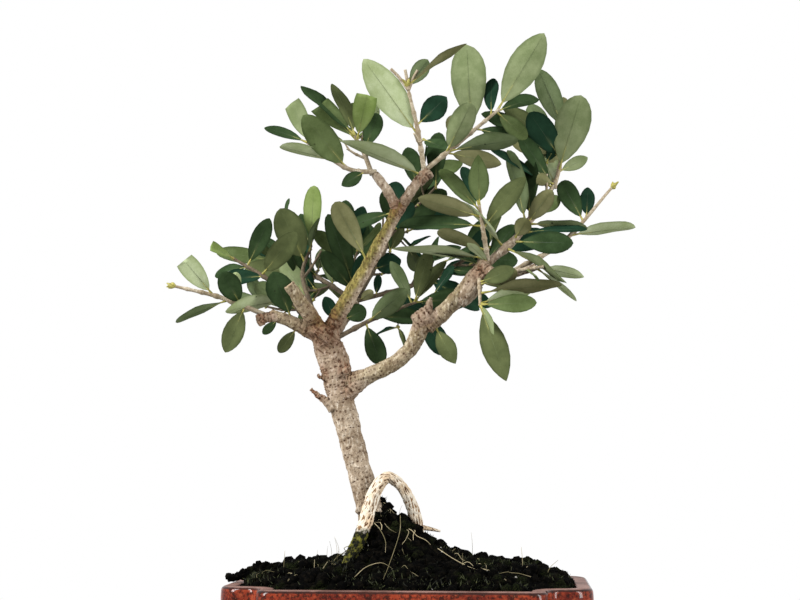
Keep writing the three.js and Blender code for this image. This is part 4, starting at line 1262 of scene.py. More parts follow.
# Leaves that stand out from the front, on each shoot or bough: the share along it where the leaf sits, the
# leaf's tip, how wide it looks, its tint, the side that shows, and if it was cut across or has a keen point.
MARKED_LEAVES = {
    "foliage_apex": [
        (0.97, (78, -8, 379), 19.5, "mid", "under"),
        (0.65, (33, -2, 374), 21, "mid", "under"),
        (0.32, (34, -30, 331), 14, "mid", "under"),
        (0.35, (60, -31, 310), 10, "dark", "under"),
        (0.33, (53, 1, 303), 11, "olive", "under"),
        (0.96, (75, 6, 344), 8, "dark", "over"),
        (0.96, (68, 0, 318), 10, "mid", "over"),
        (0.70, (62, 2, 319), 9, "dark", "over"),
        (0.90, (48, 3, 355), 9, "deep", "over"),
    ],
    "foliage_apex_left": [
        (0.45, (-27, -26, 358), 19, "fresh", "under"),
        (1.00, (32, -26, 367), 4, "olive", "under"),
        (0.98, (10, -12, 362), 10, "dark", "under"),
        (0.57, (21, -4, 342), 14, "deep", "over", "keen"),
        (0.00, (-40, -32, 309), 9, "fresh", "under", "keen"),
    ],
    "foliage_upper_right": [
        (1.00, (77, 18, 365), 14, "dark", "under"),
        (0.73, (70, 5, 335), 16, "deep", "over"),
        (0.60, (100, 0, 344), 21, "mid", "under"),
        (0.60, (107, 27, 313), 8, "mid", "under"),
        (0.45, (73, -4, 294), 8, "olive", "under"),
        (0.42, (64, 8, 322), 10, "dark", "over"),
        (0.40, (47, 4, 312), 5, "deep", "over"),
        (0.75, (42, 12, 336), 9, "dark", "over"),
        (0.80, (55, 14, 341), 9, "olive", "over"),
    ],
    "foliage_right_crest": [
        (0.97, (38, -24, 303), 12, "mid", "over", "keen"),
        (0.90, (17, -3, 299), 9, "mid", "over"),
        (0.62, (66, -6, 294), 12, "olive", "over"),
        (0.80, (4, -24, 278), 11, "olive", "under"),
        (0.66, (-7, -2, 266), 9, "dark", "over"),
        (0.13, (-11, -12, 251), 6, "fresh", "under", "keen"),
        (0.00, (-2, 3, 254), 3.5, "dark", "over", "keen"),
        (0.26, (15, -19, 260), 8, "olive", "under"),
        (0.06, (32, -20, 253), 5, "fresh", "under"),
        (0.96, (30, -6, 300), 8, "deep", "over"),
    ],
    "foliage_right": [
        (0.73, (105, 14, 292), 9, "deep", "over"),
        (0.70, (89, 11, 295), 12, "dark", "over"),
        (0.57, (130, -2, 265), 7, "fresh", "under"),
    ],
    "right_limb": [
        (0.95, (88, 8, 285), 9, "mid", "over"),
        (0.80, (57, 8, 313), 10, "dark", "under"),
        (0.87, (71, 13, 309), 12, "dark", "over"),
        (0.79, (81, -12, 285), 11, "olive", "under"),
        (0.67, (100, -16, 261), 4.5, "deep", "over"),
        (0.82, (101, -11, 263), 6, "mid", "under"),
        (0.55, (66, -19, 267), 10, "olive", "under"),
        (0.52, (91, -25, 252), 13, "dark", "over"),
        (0.40, (85, -42, 227), 5, "mid", "under", "keen"),
        (0.38, (29, -14, 278), 4.5, "fresh", "under", "keen"),
    ],
    "foliage_right_front": [
        (0.91, (97, -23, 233), 7, "fresh", "under", "keen"),
        (0.82, (93, -18, 220), 3.5, "fresh", "under"),
    ],
    "foliage_right_low": [
        (0.35, (57, -36, 236), 9.5, "olive", "over"),
        (0.45, (59, -30, 235), 9, "olive", "under"),
        (0.70, (83, -36, 227), 8, "olive", "under"),
        (0.96, (69, -24, 227), 9, "fresh", "under"),
        (0.98, (69, -36, 217), 10.5, "mid", "over"),
        (0.98, (52, -34, 174), 15, "olive", "over", "keen"),
        (0.98, (45, -40, 199), 4, "mid", "under", "keen"),
    ],
    "right_bough_upper": [(0.10, (25, -15, 185), 11, "olive", "over", "keen")],
    "foliage_centre_low": [
        (0.99, (11, 4, 252), 10, "olive", "over"),
        (0.99, (21, 10, 247), 7, "olive", "over"),
        (0.45, (-2, -1, 229), 12, "dark", "under"),
        (0.43, (-17, 5, 186), 12, "dark", "over"),
        (0.96, (-12, 16, 248), 8, "dark", "under"),
    ],
    "leader": [(0.57, (-43, -22, 276), 13, "olive", "under"), (0.97, (-35, -1, 266), 8, "dark", "over")],
    "foliage_upper_left": [
        (0.88, (-25, -28, 336), 13, "fresh", "over", "cut"),
        (1.00, (-64, -6, 348), 7, "dark", "over"),
        (1.00, (-46, 0, 351), 8, "olive", "over"),
        (0.51, (-19, -4, 332), 11, "dark", "over"),
        (0.84, (-52, -8, 334), 13, "mid", "over", "cut"),
    ],
    "foliage_upper_left_outer": [
        (0.51, (-60, -42, 321), 16, "mid", "over"),
        (0.67, (-73, -39, 304), 6.5, "fresh", "under"),
        (1.00, (-83, -26, 318), 6, "dark", "over"),
        (0.95, (-68, -28, 331), 11, "mid", "under", "cut"),
        (0.21, (-39, -29, 284), 8, "dark", "over"),
    ],
    "foliage_centre": [
        (0.29, (-49, 15, 276), 13, "dark", "over"),
        (0.24, (-52, 11, 253), 11, "dark", "over"),
        (0.12, (-29, 17, 252), 9, "deep", "over"),
    ],
    "foliage_back_high": [(0.31, (-6, 32, 251), 12, "deep", "over")],
    "back_bough": [
        (0.55, (-26, 10, 219), 11, "dark", "over"),
        (0.45, (-50, 8, 226), 8, "deep", "over"),
    ],
    "foliage_back_right": [
        (0.17, (-19, 30, 242), 5, "deep", "over"),
        (0.05, (-22, 22, 231), 6, "olive", "under"),
    ],
    "foliage_left_crest": [
        (1.00, (-57, 14, 293), 11, "fresh", "over"),
        (0.73, (-77, 13, 279), 18, "olive", "over"),
        (0.89, (-54, 15, 274), 4, "dark", "under", "keen"),
    ],
    "foliage_left_high": [
        (0.37, (-104, -21, 214), 9, "fresh", "under"),
        (0.66, (-65, -14, 260), 13, "olive", "over"),
        (0.83, (-82, 1, 271), 11, "dark", "over"),
        (0.98, (-116, 2, 254), 6, "fresh", "over", "cut"),
    ],
    "foliage_left_low": [
        (0.59, (-127, -21, 242), 12, "fresh", "under", "cut"),
        (0.43, (-132, -20, 208), 5, "dark", "under"),
        (0.30, (-106, -23, 236), 13, "dark", "over"),
        (0.26, (-104, -19, 191), 12, "olive", "over"),
    ],
    "left_bough": [
        (0.55, (-78, -17, 237), 16, "dark", "over"),
        (0.43, (-76, 4, 193), 7.5, "olive", "over"),
    ],
}
VIEWPOINT = np.array([-6.2, -800, 123])
MARKED_ASPECT = 0.32
MARKED_CURL = 0.07
MARKED_SHARES = (0.3, 0.55, 0.8)
MARKED_CLEARANCE = 6.5
MARKED_DEPTH = 5
LIMB_LEAF_SEAT = 0.7
CUT_AT = 0.72
KEEN_TIP = 0.9


class Chance:
    """Random numbers from 0 to 1 that are the same on every run."""

    START = 7
    SEED_STEP = 104729
    FACTOR = 16807
    LIMIT = 2147483647

    def __init__(self, seed):
        self.state = seed * self.SEED_STEP + self.START

    def __call__(self):
        self.state = self.state * self.FACTOR % self.LIMIT
        return self.state / self.LIMIT


def stem_stations(mass):
    """A mass's stem, from its seat on its limb to its tip."""
    limb = LIMBS[mass["limb"]]
    along = mass["along"]
    _, side, front = frame_on(limb, along)
    angle = math.radians(mass["perch"])
    offset = between(radii_of(limb), along) * STEM_SEAT
    start = spot_on(limb, along) + side * offset * math.cos(angle) + front * offset * math.sin(angle)
    tip = np.array(mass["tip"], float)
    return np.array([start, (start + tip) / 2 + mass["bow"], tip])


stems = [stem_stations(mass) for mass in masses]
bead_shares = np.linspace(0, 1, BEADS + 1)
stem_beads = np.array([spot_on(stations, bead_shares) for stations in stems])
limb_beads = np.vstack([spot_on(stations, bead_shares) for stations in LIMBS.values()])
limb_bead_radii = np.concatenate([between(radii_of(stations), bead_shares) for stations in LIMBS.values()])


def in_space(spots, number):
    """Whether all spots lie nearer to a mass's own stem than to any other, and clear of the wood."""
    spots = np.asarray(spots)
    if (spots[:, 1] < masses[number]["front"]).any():
        return False
    apart = (spots[:, None, None] - stem_beads[None]) * [1, LAYERING, 1]
    far = np.linalg.norm(apart, axis=3).min(2)
    own = far[:, number].copy()
    far[:, number] = np.inf
    if (far.min(1) <= own + SPACE_MARGIN).any():
        return False
    wood_gap = np.linalg.norm(spots[:, None] - limb_beads[None], axis=2) - limb_bead_radii
    return bool((wood_gap > LEAF_CLEARANCE).all())


def leaf_spot(leaf, share, width=0):
    """A spot on a leaf, at a share of its length and, from -1 to 1, of its width."""
    along = leaf["axis"] * share * leaf["length"]
    across = leaf["across"] * width * leaf["length"] * LEAF_ASPECT / 2
    return leaf["root"] + along + across - leaf["face"] * leaf["curl"] * share * share * leaf["length"]


def leaf_fits(leaf, number):
    spots = [leaf_spot(leaf, share, width) for share in LEAF_FEELERS for width in LEAF_BREADTHS]
    return in_space(spots + [leaf_spot(leaf, 1)], number)


def marked_leaf(parent, along, tip, wide, tint, side, end="round"):
    """A leaf from its seat to its tip, turned about its own line until it looks as wide as it should."""
    path = LIMBS.get(parent) or stems[mass_names.index(parent)]
    root = spot_on(path, along)
    axis = unit(tip - root)
    if parent in LIMBS:
        root = root + axis * between(radii_of(path), along) * LIMB_LEAF_SEAT
    kept = CUT_AT if end == "cut" else 1.0
    length = math.dist(tip, root) / kept
    aspect = max(MARKED_ASPECT, wide / length)
    lean = math.acos(min(1, wide / (length * aspect)))
    toward = unit(VIEWPOINT - root)
    toward = unit(toward - axis * (toward @ axis))
    beside = np.cross(axis, toward)
    faces = [toward * math.cos(lean) + beside * hand * math.sin(lean) for hand in (-1, 1)]
    if side == "under":
        faces = [-face for face in faces]
    face = max(faces, key=lambda direction: direction[2])
    axis = unit(tip - root + face * MARKED_CURL * length)
    face = unit(face - axis * (face @ axis))
    return {
        "root": root, "axis": axis, "face": face, "across": np.cross(face, axis), "length": length,
        "curl": MARKED_CURL, "breadth": aspect / LEAF_ASPECT, "tint": tint, "end": kept,
        "keen": end == "keen",
    }


marked_leaves = [marked_leaf(parent, *row) for parent, rows in MARKED_LEAVES.items() for row in rows]
marked_bellies = np.array([leaf_spot(leaf, LEAF_BELLY) for leaf in marked_leaves])
marked_spots = np.array([leaf_spot(leaf, share) for leaf in marked_leaves for share in MARKED_SHARES])
marked_tips = np.array([leaf_spot(leaf, leaf["end"])[[0, 2]] for leaf in marked_leaves]) - CROWN_MIDDLE
marked_angles = np.arctan2(marked_tips[:, 1], marked_tips[:, 0])
marked_reaches = np.hypot(marked_tips[:, 0], marked_tips[:, 1])


def covers_marked(leaf):
    """Whether a leaf would stand in front of a marked one."""
    spots = np.array([leaf_spot(leaf, share) for share in COVER_FEELERS])
    apart = marked_spots[None] - spots[:, None]
    close = np.hypot(apart[..., 0], apart[..., 2]) < MARKED_CLEARANCE
    return bool((close & (apart[..., 1] > -MARKED_DEPTH)).any())


def on_bare_end(spot, number):
    """Whether a spot is by the part of a mass's stem that bears no more growth."""
    nearest = np.linalg.norm(stem_beads[number] - spot, axis=1).argmin()
    return bead_shares[nearest] > masses[number]["bare"]


def sticks_out(leaf):
    """Whether a leaf grows past the marked ones round it, as seen from the front."""
    offset = leaf_spot(leaf, 1)[[0, 2]] - CROWN_MIDDLE
    turn = np.angle(np.exp(1j * (marked_angles - math.atan2(offset[1], offset[0]))))
    beside = marked_reaches[np.abs(turn) < CROWN_SECTOR]
    return len(beside) > 0 and np.hypot(*offset) > beside.max()


def outward_from(side, front, degrees):
    """A direction across a shoot, flattened so that more growth spreads sideways than front to back."""
    turn = math.radians(degrees)
    outward = side * math.cos(turn) + front * math.sin(turn)
    outward[1] *= FLATNESS
    return unit(outward)


def leaf_pairs(shoot, chance):
    """The leaves that a shoot would bear, if each had room."""
    leaves = []
    for pair in range(shoot["pairs"]):
        along = shoot["first"] + (shoot["last"] - shoot["first"]) * (pair + 1) / shoot["pairs"]
        tangent, side, front = frame_on(shoot["path"], along)
        for hand in (0, 180):
            turn = shoot["roll"] + PAIR_TURN * pair + hand + PAIR_TURN_SPREAD * (chance() - 0.5)
            outward = outward_from(side, front, turn)
            opening = TIP_LEAF_OPENING if pair == shoot["pairs"] - 1 else LEAF_OPENING
            spread = math.radians(opening + OPENING_SPREAD * (chance() - 0.5))
            axis = unit(tangent * math.cos(spread) + outward * math.sin(spread) + UPWARD * shoot["lift"])
            length = shoot["leaf"] * (SHORTEST_LEAF + LEAF_SPREAD * chance())
            curl = CURL_SPREAD * (chance() - CURL_OFFSET)
            face = LIGHT + np.array([chance() - 0.5, chance() - 0.5, chance() - 0.5]) * SWAY
            face = unit(face - axis * (face @ axis))
            leaves.append({
                "root": spot_on(shoot["path"], along) - axis * LEAF_SINK, "axis": axis, "face": face,
                "across": np.cross(face, axis), "length": length, "curl": curl, "along": along,
                "keen": False,
            })
    return leaves


def side_twigs(path, mass, chance):
    """The paths of the twigs that leave a shoot."""
    twigs = []
    for number in range(mass["twigs"]):
        along = FIRST_TWIG + TWIG_RUN * (number + 0.5) / mass["twigs"]
        tangent, side, front = frame_on(path, along)
        turn = mass["roll"] + TWIG_TURN * number + TWIG_TURN_SPREAD * (chance() - 0.5)
        outward = outward_from(side, front, turn)
        heading = unit(tangent * TWIG_FORWARD + outward * TWIG_OUTWARD + UPWARD * TWIG_RISE)
        length = mass["twig"] * (SHORTEST_TWIG + TWIG_SPREAD * chance())
        start = spot_on(path, along)
        tip = start + heading * length
        twigs.append(np.array([start, (start + tip) / 2 - UPWARD * TWIG_SAG * length, tip]))
    return twigs


def grown(number):
    """The twigs and leaves that grow in one mass's space."""
    mass = masses[number]
    chance = Chance(mass["seed"])
    stem = stems[number]
    twigs = []
    leaf_size = mass["leaf"] * (1 if mass["front"] == OPEN_FRONT else INNER_LEAF)
    for path in side_twigs(stem, mass, chance):
        roll = 360 * chance()
        if not on_bare_end(path[0], number) and in_space(spot_on(path, TWIG_FEELERS), number):
            twigs.append({
                **mass, "path": path, "pairs": TWIG_PAIRS, "roll": roll, "leaf": TWIG_LEAF * leaf_size,
                "first": 0, "last": 1, "radius": TWIG_RADIUS, "bears": 0,
            })
    fine_chance = Chance(mass["seed"] + TWIGLET_SEED)
    fine_growth = {**mass, "twigs": TWIGLETS, "twig": TWIGLET_SHARE * mass["twig"]}
    for twig in twigs[:]:
        for path in side_twigs(twig["path"], fine_growth, fine_chance):
            roll = 360 * fine_chance()
            if in_space(spot_on(path, TWIG_FEELERS), number):
                twigs.append({
                    **twig, "path": path, "pairs": 1, "roll": roll, "leaf": TWIGLET_LEAF * leaf_size,
                    "radius": TWIGLET_RADIUS, "parent": twig,
                })
    leaves = []
    bellies = marked_bellies
    main_shoot = {**mass, "path": stem, "first": FIRST_PAIR, "leaf": STEM_LEAF * leaf_size, "bears": 0}
    for shoot in [main_shoot] + twigs:
        for leaf in leaf_pairs(shoot, chance):
            belly = leaf_spot(leaf, LEAF_BELLY)
            crowded = (np.linalg.norm(bellies - belly, axis=1) < CROWDING).any()
            in_the_way = covers_marked(leaf) or sticks_out(leaf)
            if crowded or in_the_way or on_bare_end(leaf["root"], number):
                continue
            if leaf_fits(leaf, number):
                leaf["mass"] = number
                leaves.append(leaf)
                bellies = np.vstack([bellies, belly])
                shoot["bears"] = max(shoot["bears"], leaf["along"])
                if "parent" in shoot:
                    shoot["parent"]["bears"] = max(shoot["parent"]["bears"], FIRST_TWIG + TWIG_RUN)
    return [twig for twig in twigs if twig["bears"]], leaves


def twig_bark(name, shade, light, fleck):
    """Thin bark of one tone clouded with a lighter one, with darker flecks."""
    finish = Finish(name, roughness=0.75, specular=0.2)
    tone = finish.place.noise(260, roughness=0.6).ramp(0.36, 0.66).blend(hexed(shade), hexed(light))
    fine = finish.place.noise(1300, detail=2, roughness=0.6)
    finish.colour(fine.ramp(0.6, 0.44).blend(tone, hexed(fleck), strength=0.45))
    finish.bump(fine, distance=0.15, strength=0.6)
    return finish


def knuckled(pairs, first, last):
    """Swells a twig a little where each leaf pair stands."""
    nodes = first + (last - first) * (np.arange(pairs) + 1) / pairs

    def swell(radius, along, angle):
        knuckle = np.exp(-((along[..., None] - nodes) / KNUCKLE_LENGTH) ** 2).max(-1)
        return radius * (1 + KNUCKLE_RISE * knuckle)

    return swell


crown_leaves = []
open_parts = []
inner_parts = []
for number, (mass, stem) in enumerate(zip(masses, stems)):
    twigs, leaves = grown(number)
    crown_leaves.extend(leaves)
    parts = open_parts if mass["front"] == OPEN_FRONT else inner_parts
    swell = knuckled(mass["pairs"], FIRST_PAIR, mass["last"])
    parts.append(tube(stem, STEM_RADII, sides=9, steps=44, swell=swell))
    for twig in twigs:
        path = spot_on(twig["path"], np.array([0, 0.5, 1]) * twig["bears"])
        swell = knuckled(TWIG_PAIRS, 0, 1)
        parts.append(tube(path, twig["radius"] * TWIG_TAPER, sides=7, steps=18, swell=swell))
stub_foot = spot_on(stems[mass_names.index("foliage_apex_left")], STUB_SEAT)
for end in STUB_ENDS:
    bend = (stub_foot + end) / 2 + UPWARD
    open_parts.append(tube([stub_foot, bend, end], STUB_RADII, sides=8, steps=14))
pale_bark = twig_bark("pale_twig_bark", shade="ad9c7e", light="dccfb5", fleck="866f54")
# Painted shade: the inner shoots take a darker copy of the pale twig bark, for twigs in the crown's shadow.
shaded_bark = twig_bark("shaded_twig_bark", shade="6b5d49", light="8d7d63", fleck="4d4032")
for name, parts, finish in (
    ("open_shoots", open_parts, pale_bark),
    ("inner_shoots", inner_parts, shaded_bark),
):
    settled(grown_piece(name, parts, [finish]), "bark")


# The leaves: leathery ovals on short yellow stalks, dark green above, grey-green and paler below.
# Each is a closed thin blade, folded a little at its midrib and curled along it; some were cut across.
# Stubby young leaves crowd the tips of the shoots that end bare.
PETIOLE = 0.1
PETIOLE_BEND = 0.06
PETIOLE_RADII = (0.85, 0.7, 0.42)
LEAF_ROWS = np.array([0.0, 0.1, 0.24, 0.4, 0.56, 0.7, 0.82, 0.91, 0.97, 1.0])
LEAF_COLUMNS = np.array([-1, -0.5, 0, 0.5, 1])
INNER_ROWS = LEAF_ROWS[1:-1]
INNER_COLUMNS = LEAF_COLUMNS[1:-1]
BLADE_THICKNESS = 0.5
THIN_BELOW = 1.5
FOLD_FLATTENING = 0.35
RIPPLES = 9
RIPPLE_SKEW = 2
SQUARE_CUT = 0.995
CUT_SHARE = 0.05
CUT_ENDS_AT = (0.55, 0.75)
LEAF_BREADTH = (0.8, 1.08)
BASE_TAPER = (0.68, 1.05)
ROUND_TIP = (0.5, 0.75)
FOLD = (0.12, 0.48)
RIPPLE = (0.0, 0.16)
BLADE_SHARP_ANGLE = 70
RIB_STEPS = 8
RIB_SIDES = 4
RIB_END = 0.93
RIB_WIDTH = (0.38, 0.1)
RIB_PROUD = (0.2, 0.03)
RIB_FOOT_FACES = 8
DARK_RIBBED = ("deep", "dark")
BUDS = 6
BUD_REACH = (2.5, 5.5)
BUD_TURN = 0.4
BUD_BEND = 0.6
BUD_SPREAD = 0.5
BUD_RADII = (0.7, 1.0, 0.35)
LEAF_SEED = 5
TINTS = {
    "deep": {"upper": ("203728", "30503c", "15281d"), "lower": ("5f6d47", "7f8b64", "48553a")},
    "dark": {"upper": ("2e4026", "4a603e", "202e1d"), "lower": ("60704a", "85946c", "4a5939")},
    "mid": {"upper": ("526138", "788959", "3c4b2a"), "lower": ("77855a", "9ea97e", "5c6a44")},
    "fresh": {"upper": ("7a8f4c", "a3b673", "60753c"), "lower": ("a9b882", "d6e2b8", "8a9b64")},
    "olive": {"upper": ("505938", "70794f", "3b442a"), "lower": ("75764f", "9a996f", "5d5e40")},
}
SKIN_ROUGHNESS = {"upper": 0.5, "lower": 0.6}


def blade_width(share, taper, tip):
    """Half width by share of the blade, 1 at its widest; taper draws out the base, and tip the end."""
    widest = taper / (taper + tip)
    most = widest ** taper * (1 - widest) ** tip
    return share ** taper * (1 - share) ** tip / most


def side_faces(grid):
    """The faces of one side of a blade, from its foot, point 0, over a grid to its tip, point 1."""
    faces = []
    for column in range(len(LEAF_COLUMNS) - 1):
        faces.append((0, grid[0][column + 1], grid[0][column]))
        for row, following in zip(grid, grid[1:]):
            faces.append((row[column], row[column + 1], following[column + 1], following[column]))
        faces.append((grid[-1][column], grid[-1][column + 1], 1))
    return faces


def blade_faces():
    """The upper faces, then the lower ones, of a blade whose sides share their margin."""
    columns = len(LEAF_COLUMNS)
    upper = 2 + np.arange(len(INNER_ROWS) * columns).reshape(-1, columns)
    inner = 2 + upper.size + np.arange(len(INNER_ROWS) * (columns - 2)).reshape(-1, columns - 2)
    lower = np.column_stack([upper[:, 0], inner, upper[:, -1]])
    turned_over = [face[:1] + face[:0:-1] for face in side_faces(lower.tolist())]
    return side_faces(upper.tolist()) + turned_over


BLADE_FACES = blade_faces()
BLADE_RUN = np.concatenate([
    [0, 1], np.repeat(INNER_ROWS, len(LEAF_COLUMNS)), np.repeat(INNER_ROWS, len(INNER_COLUMNS)),
])
BLADE_MARGIN = np.abs(np.concatenate([
    [0, 0], np.tile(LEAF_COLUMNS, len(INNER_ROWS)), np.tile(INNER_COLUMNS, len(INNER_ROWS)),
]))


def on_midrib(leaf, share):
    """Points down the straight line of a leaf, at shares of its length."""
    return leaf["root"] + leaf["axis"] * (share * leaf["length"])[:, None]


def blade(leaf, taper, tip, fold, ripple, phase):
    """A leaf's blade, whole or cut across at the leaf's end."""
    length = leaf["length"]
    end = leaf["end"]
    rows = LEAF_ROWS * end
    if end < 1:
        rows[-2] = end * SQUARE_CUT
    widths = blade_width(rows, taper, tip)
    widths[-1] = 0
    share = PETIOLE + (1 - PETIOLE) * rows
    half = widths * length * LEAF_ASPECT / 2 * leaf["breadth"]
    grid = half[:, None] * LEAF_COLUMNS
    outward = LEAF_COLUMNS ** 2
    wave = np.sin(RIPPLES * share[:, None] + phase + RIPPLE_SKEW * LEAF_COLUMNS)
    lift = fold * np.abs(grid) * (1 - FOLD_FLATTENING * outward) + ripple * half[:, None] * wave * outward
    lift = lift - leaf["curl"] * (share ** 2)[:, None] * length
    thick = BLADE_THICKNESS / 2 * (1 - outward) * np.minimum(1, half / THIN_BELOW)[:, None]
    flat = on_midrib(leaf, share)[:, None] - leaf["across"] * grid[..., None]
    upper = flat + leaf["face"] * (lift + thick)[..., None]
    lower = flat + leaf["face"] * (lift - thick)[..., None]
    middle = len(LEAF_COLUMNS) // 2
    return np.vstack([
        upper[[0, -1], middle], upper[1:-1].reshape(-1, 3), lower[1:-1, 1:-1].reshape(-1, 3),
    ])


def rib(leaf):
    """The midrib, standing a little proud of both faces of its leaf."""
    share = PETIOLE + (1 - PETIOLE) * np.linspace(0.0, RIB_END, RIB_STEPS) * leaf["end"]
    middle = on_midrib(leaf, share) - leaf["face"] * (leaf["curl"] * share ** 2 * leaf["length"])[:, None]
    wide = -leaf["across"] * np.linspace(*RIB_WIDTH, RIB_STEPS)[:, None]
    proud = leaf["face"] * (BLADE_THICKNESS / 2 + np.linspace(*RIB_PROUD, RIB_STEPS)[:, None])
    rings = np.stack([middle + wide, middle + proud, middle - wide, middle - proud], 1)
    return rings.reshape(-1, 3), [face[::-1] for face in ring_faces(RIB_STEPS, RIB_SIDES)]


def petiole(leaf):
    """The stalk, from the twig to a little way along the midrib."""
    stations = on_midrib(leaf, np.array([0.0, PETIOLE_BEND, PETIOLE + PETIOLE_BEND]))
    return tube(stations, PETIOLE_RADII, sides=6, steps=5)


def buds(path, chance):
    """The stubby young leaves that crowd a bare shoot's tip."""
    tangent, side, front = frame_on(path, 1.0)
    foot = spot_on(path, 1.0) - tangent
    parts = []
    for number in range(BUDS):
        turn = 2 * math.pi * number / BUDS + chance.uniform(-BUD_TURN, BUD_TURN)
        outward = side * math.cos(turn) + front * math.sin(turn)
        reach = chance.uniform(*BUD_REACH)
        bend = foot + tangent * reach * BUD_BEND + outward
        tip = foot + tangent * reach + outward * reach * BUD_SPREAD
        parts.append(tube([foot, bend, tip], BUD_RADII, sides=6, steps=6))
    return parts


def leaf_skin(name, shade, lit, edge, roughness):
    """Matt leaf skin: a tone clouded with a lighter one, painted lighter towards its foot as if lit through,
    pale at the midrib's foot, dark at the margin.
    """
    tones = palette(shade=shade, lit=lit, edge=edge, rib="a9ae6c", blemish="26281a")
    finish = Finish(name, roughness, specular=0.0)
    cloud = finish.place.noise(95, roughness=0.6)
    fine = finish.place.noise(1400, detail=2, roughness=0.6)
    margin = finish.mark("margin")
    along = finish.mark("run")
    # Painted light: the blade is lighter towards its foot, standing for light shining through it.
    light = cloud.ramp(0.34, 0.68) * 0.5 + along.ramp(0.85, 0.1) * 0.35 + fine.ramp(0.35, 0.7) * 0.15
    tone = light.blend(tones.shade, tones.lit)
    edged = margin.ramp(0.7, 1.0).blend(tone, tones.edge, strength=0.5)
    ribbed = (margin.ramp(0.25, 0.0) * along.ramp(0.5, 0.0)).blend(edged, tones.rib, strength=0.4)
    spots = finish.place.cells(95).ramp(0.075, 0.045) * cloud.ramp(0.47, 0.5)
    finish.colour(spots.blend(ribbed, tones.blemish, strength=0.8))
    return finish


chance = np.random.default_rng(LEAF_SEED)
for leaf in crown_leaves:
    mass = masses[leaf["mass"]]
    leaf["tint"] = chance.choice(list(TINTS), p=mass["tints"])
    leaf["breadth"] = chance.uniform(*LEAF_BREADTH)
    leaf["end"] = chance.uniform(*CUT_ENDS_AT) if chance.random() < CUT_SHARE else 1.0
    if chance.random() < mass["shows_under"]:
        leaf["face"] = -leaf["face"]
        leaf["across"] = -leaf["across"]
        leaf["curl"] = -leaf["curl"]

blades = {tint: [] for tint in TINTS}
ribs = []
rib_tones = []
stalks = []
for leaf in marked_leaves + crown_leaves:
    taper = chance.uniform(*BASE_TAPER)
    round_tip = chance.uniform(*ROUND_TIP)
    tip = KEEN_TIP if leaf["keen"] else round_tip
    fold = chance.uniform(*FOLD)
    ripple = chance.uniform(*RIPPLE)
    phase = chance.uniform(0, 2 * math.pi)
    blades[leaf["tint"]].append((blade(leaf, taper, tip, fold, ripple, phase), BLADE_FACES))
    ribs.append(rib(leaf))
    tone = 2 if leaf["tint"] in DARK_RIBBED else 1
    rib_tones.extend([0] * RIB_FOOT_FACES + [tone] * (len(ribs[-1][1]) - RIB_FOOT_FACES))
    stalks.append(petiole(leaf))
for mass, stem in zip(masses, stems):
    if mass["last"] < 1:
        stalks.extend(buds(stem, chance))

for tint, parts in blades.items():
    finishes = [
        leaf_skin(f"leaf_{tint}_{side}", *tones, SKIN_ROUGHNESS[side]) for side, tones in TINTS[tint].items()
    ]
    sides = np.tile(np.repeat([0, 1], len(BLADE_FACES) // 2), len(parts))
    leaves = grown_piece(f"leaves_{tint}", parts, finishes, sides)
    leaves.data.set_sharp_from_angle(angle=math.radians(BLADE_SHARP_ANGLE))
    marked(leaves, run=np.tile(BLADE_RUN, len(parts)), margin=np.tile(BLADE_MARGIN, len(parts)))
    settled(leaves, "foliage", *mass_names)

rib_foot, plain_rib, dark_rib, stalk_skin = (
    two_toned(name, shade, light, scale=300, drift=(0.38, 0.64), roughness=0.5)
    for name, shade, light in (
        ("leaf_rib_foot", "97994f", "b5b268"),
        ("leaf_rib", "5c6a3c", "717f4c"),
        ("leaf_rib_dark", "2f4129", "46573a"),
        ("leaf_stalk", "9a9440", "c2b95c"),
    )
)
settled(grown_piece("leaf_ribs", ribs, [rib_foot, plain_rib, dark_rib], rib_tones), "foliage")
settled(grown_piece("leaf_stalks", stalks, [stalk_skin]), "foliage")


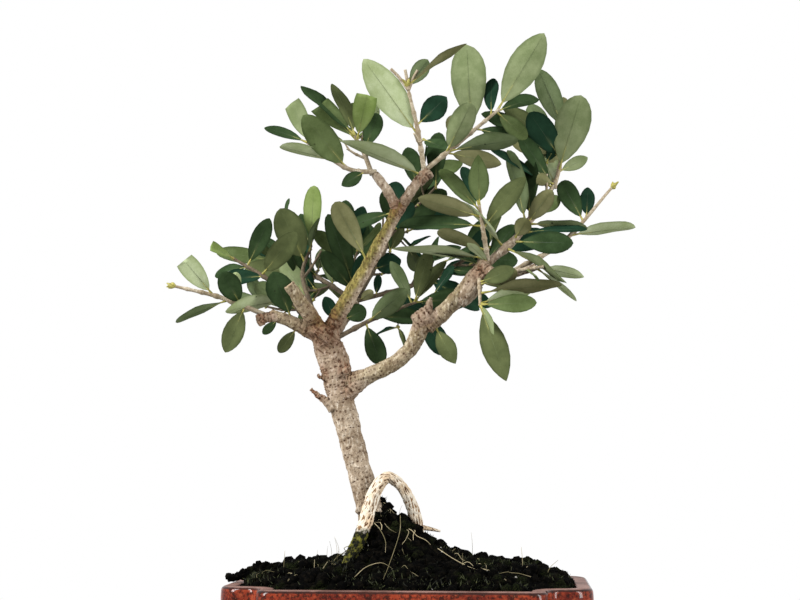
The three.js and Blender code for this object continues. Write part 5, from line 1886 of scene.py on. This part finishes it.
# The studio: a round pale table top, an even white room and two soft lamps, the stronger one up to the left
# of the camera and the weaker one to its right. The camera looks a little up, as the photograph does.
# Sizes and places here are metres in the frame, but for the lens and its sensor, which are millimetres.
FLOOR_RADIUS = 0.55
FLOOR_SIDES = 96
LAMP_AIM = Vector((0, 0, 0.2))
CAMERA_SLOPE = 0.125
CAMERA_LENS = 63
SENSOR_WIDTH = 36
NEAREST_SEEN = 0.01

turn = circle(FLOOR_SIDES)
floor_rim = FLOOR_RADIUS * np.column_stack([np.cos(turn), np.sin(turn), np.zeros(FLOOR_SIDES)])
floor_finish = two_toned(
    "studio_floor", shade="f1f0ee", light="f6f5f3", scale=8, drift=(0.3, 0.7), roughness=0.7, specular=0.2,
)
floor = piece_from("studio_floor", floor_rim, [range(FLOOR_SIDES)], [floor_finish])

room = bpy.data.worlds.new("white_room")
room.use_nodes = True
room.node_tree.nodes["Background"].inputs["Color"].default_value = (1, 1, 1, 1)
room.node_tree.nodes["Background"].inputs["Strength"].default_value = 1.0
bpy.context.scene.world = room
bpy.context.scene.view_settings.view_transform = "Standard"


def soft_lamp(name, place, width, height, watts):
    """A tall soft lamp aimed at the middle of the tree."""
    lamp = bpy.data.lights.new(name, "AREA")
    lamp.shape = "RECTANGLE"
    lamp.size = width
    lamp.size_y = height
    lamp.energy = watts
    holder = bpy.data.objects.new(name, lamp)
    holder.location = place
    holder.rotation_euler = (LAMP_AIM - Vector(place)).to_track_quat("-Z", "Y").to_euler()
    bpy.context.scene.collection.objects.link(holder)


soft_lamp("key_lamp", (-1.1, -0.65, 0.85), width=0.35, height=1.2, watts=54)
soft_lamp("fill_lamp", (1.15, -0.5, 0.6), width=0.3, height=1.1, watts=24)

lens = bpy.data.cameras.new("camera")
lens.lens = CAMERA_LENS
lens.sensor_width = SENSOR_WIDTH
lens.clip_start = NEAREST_SEEN
camera = bpy.data.objects.new("camera", lens)
camera.location = planted(VIEWPOINT)
camera.rotation_euler = (math.pi / 2 + math.atan(CAMERA_SLOPE), 0, TREE_TURN)
bpy.context.scene.collection.objects.link(camera)
bpy.context.scene.camera = camera
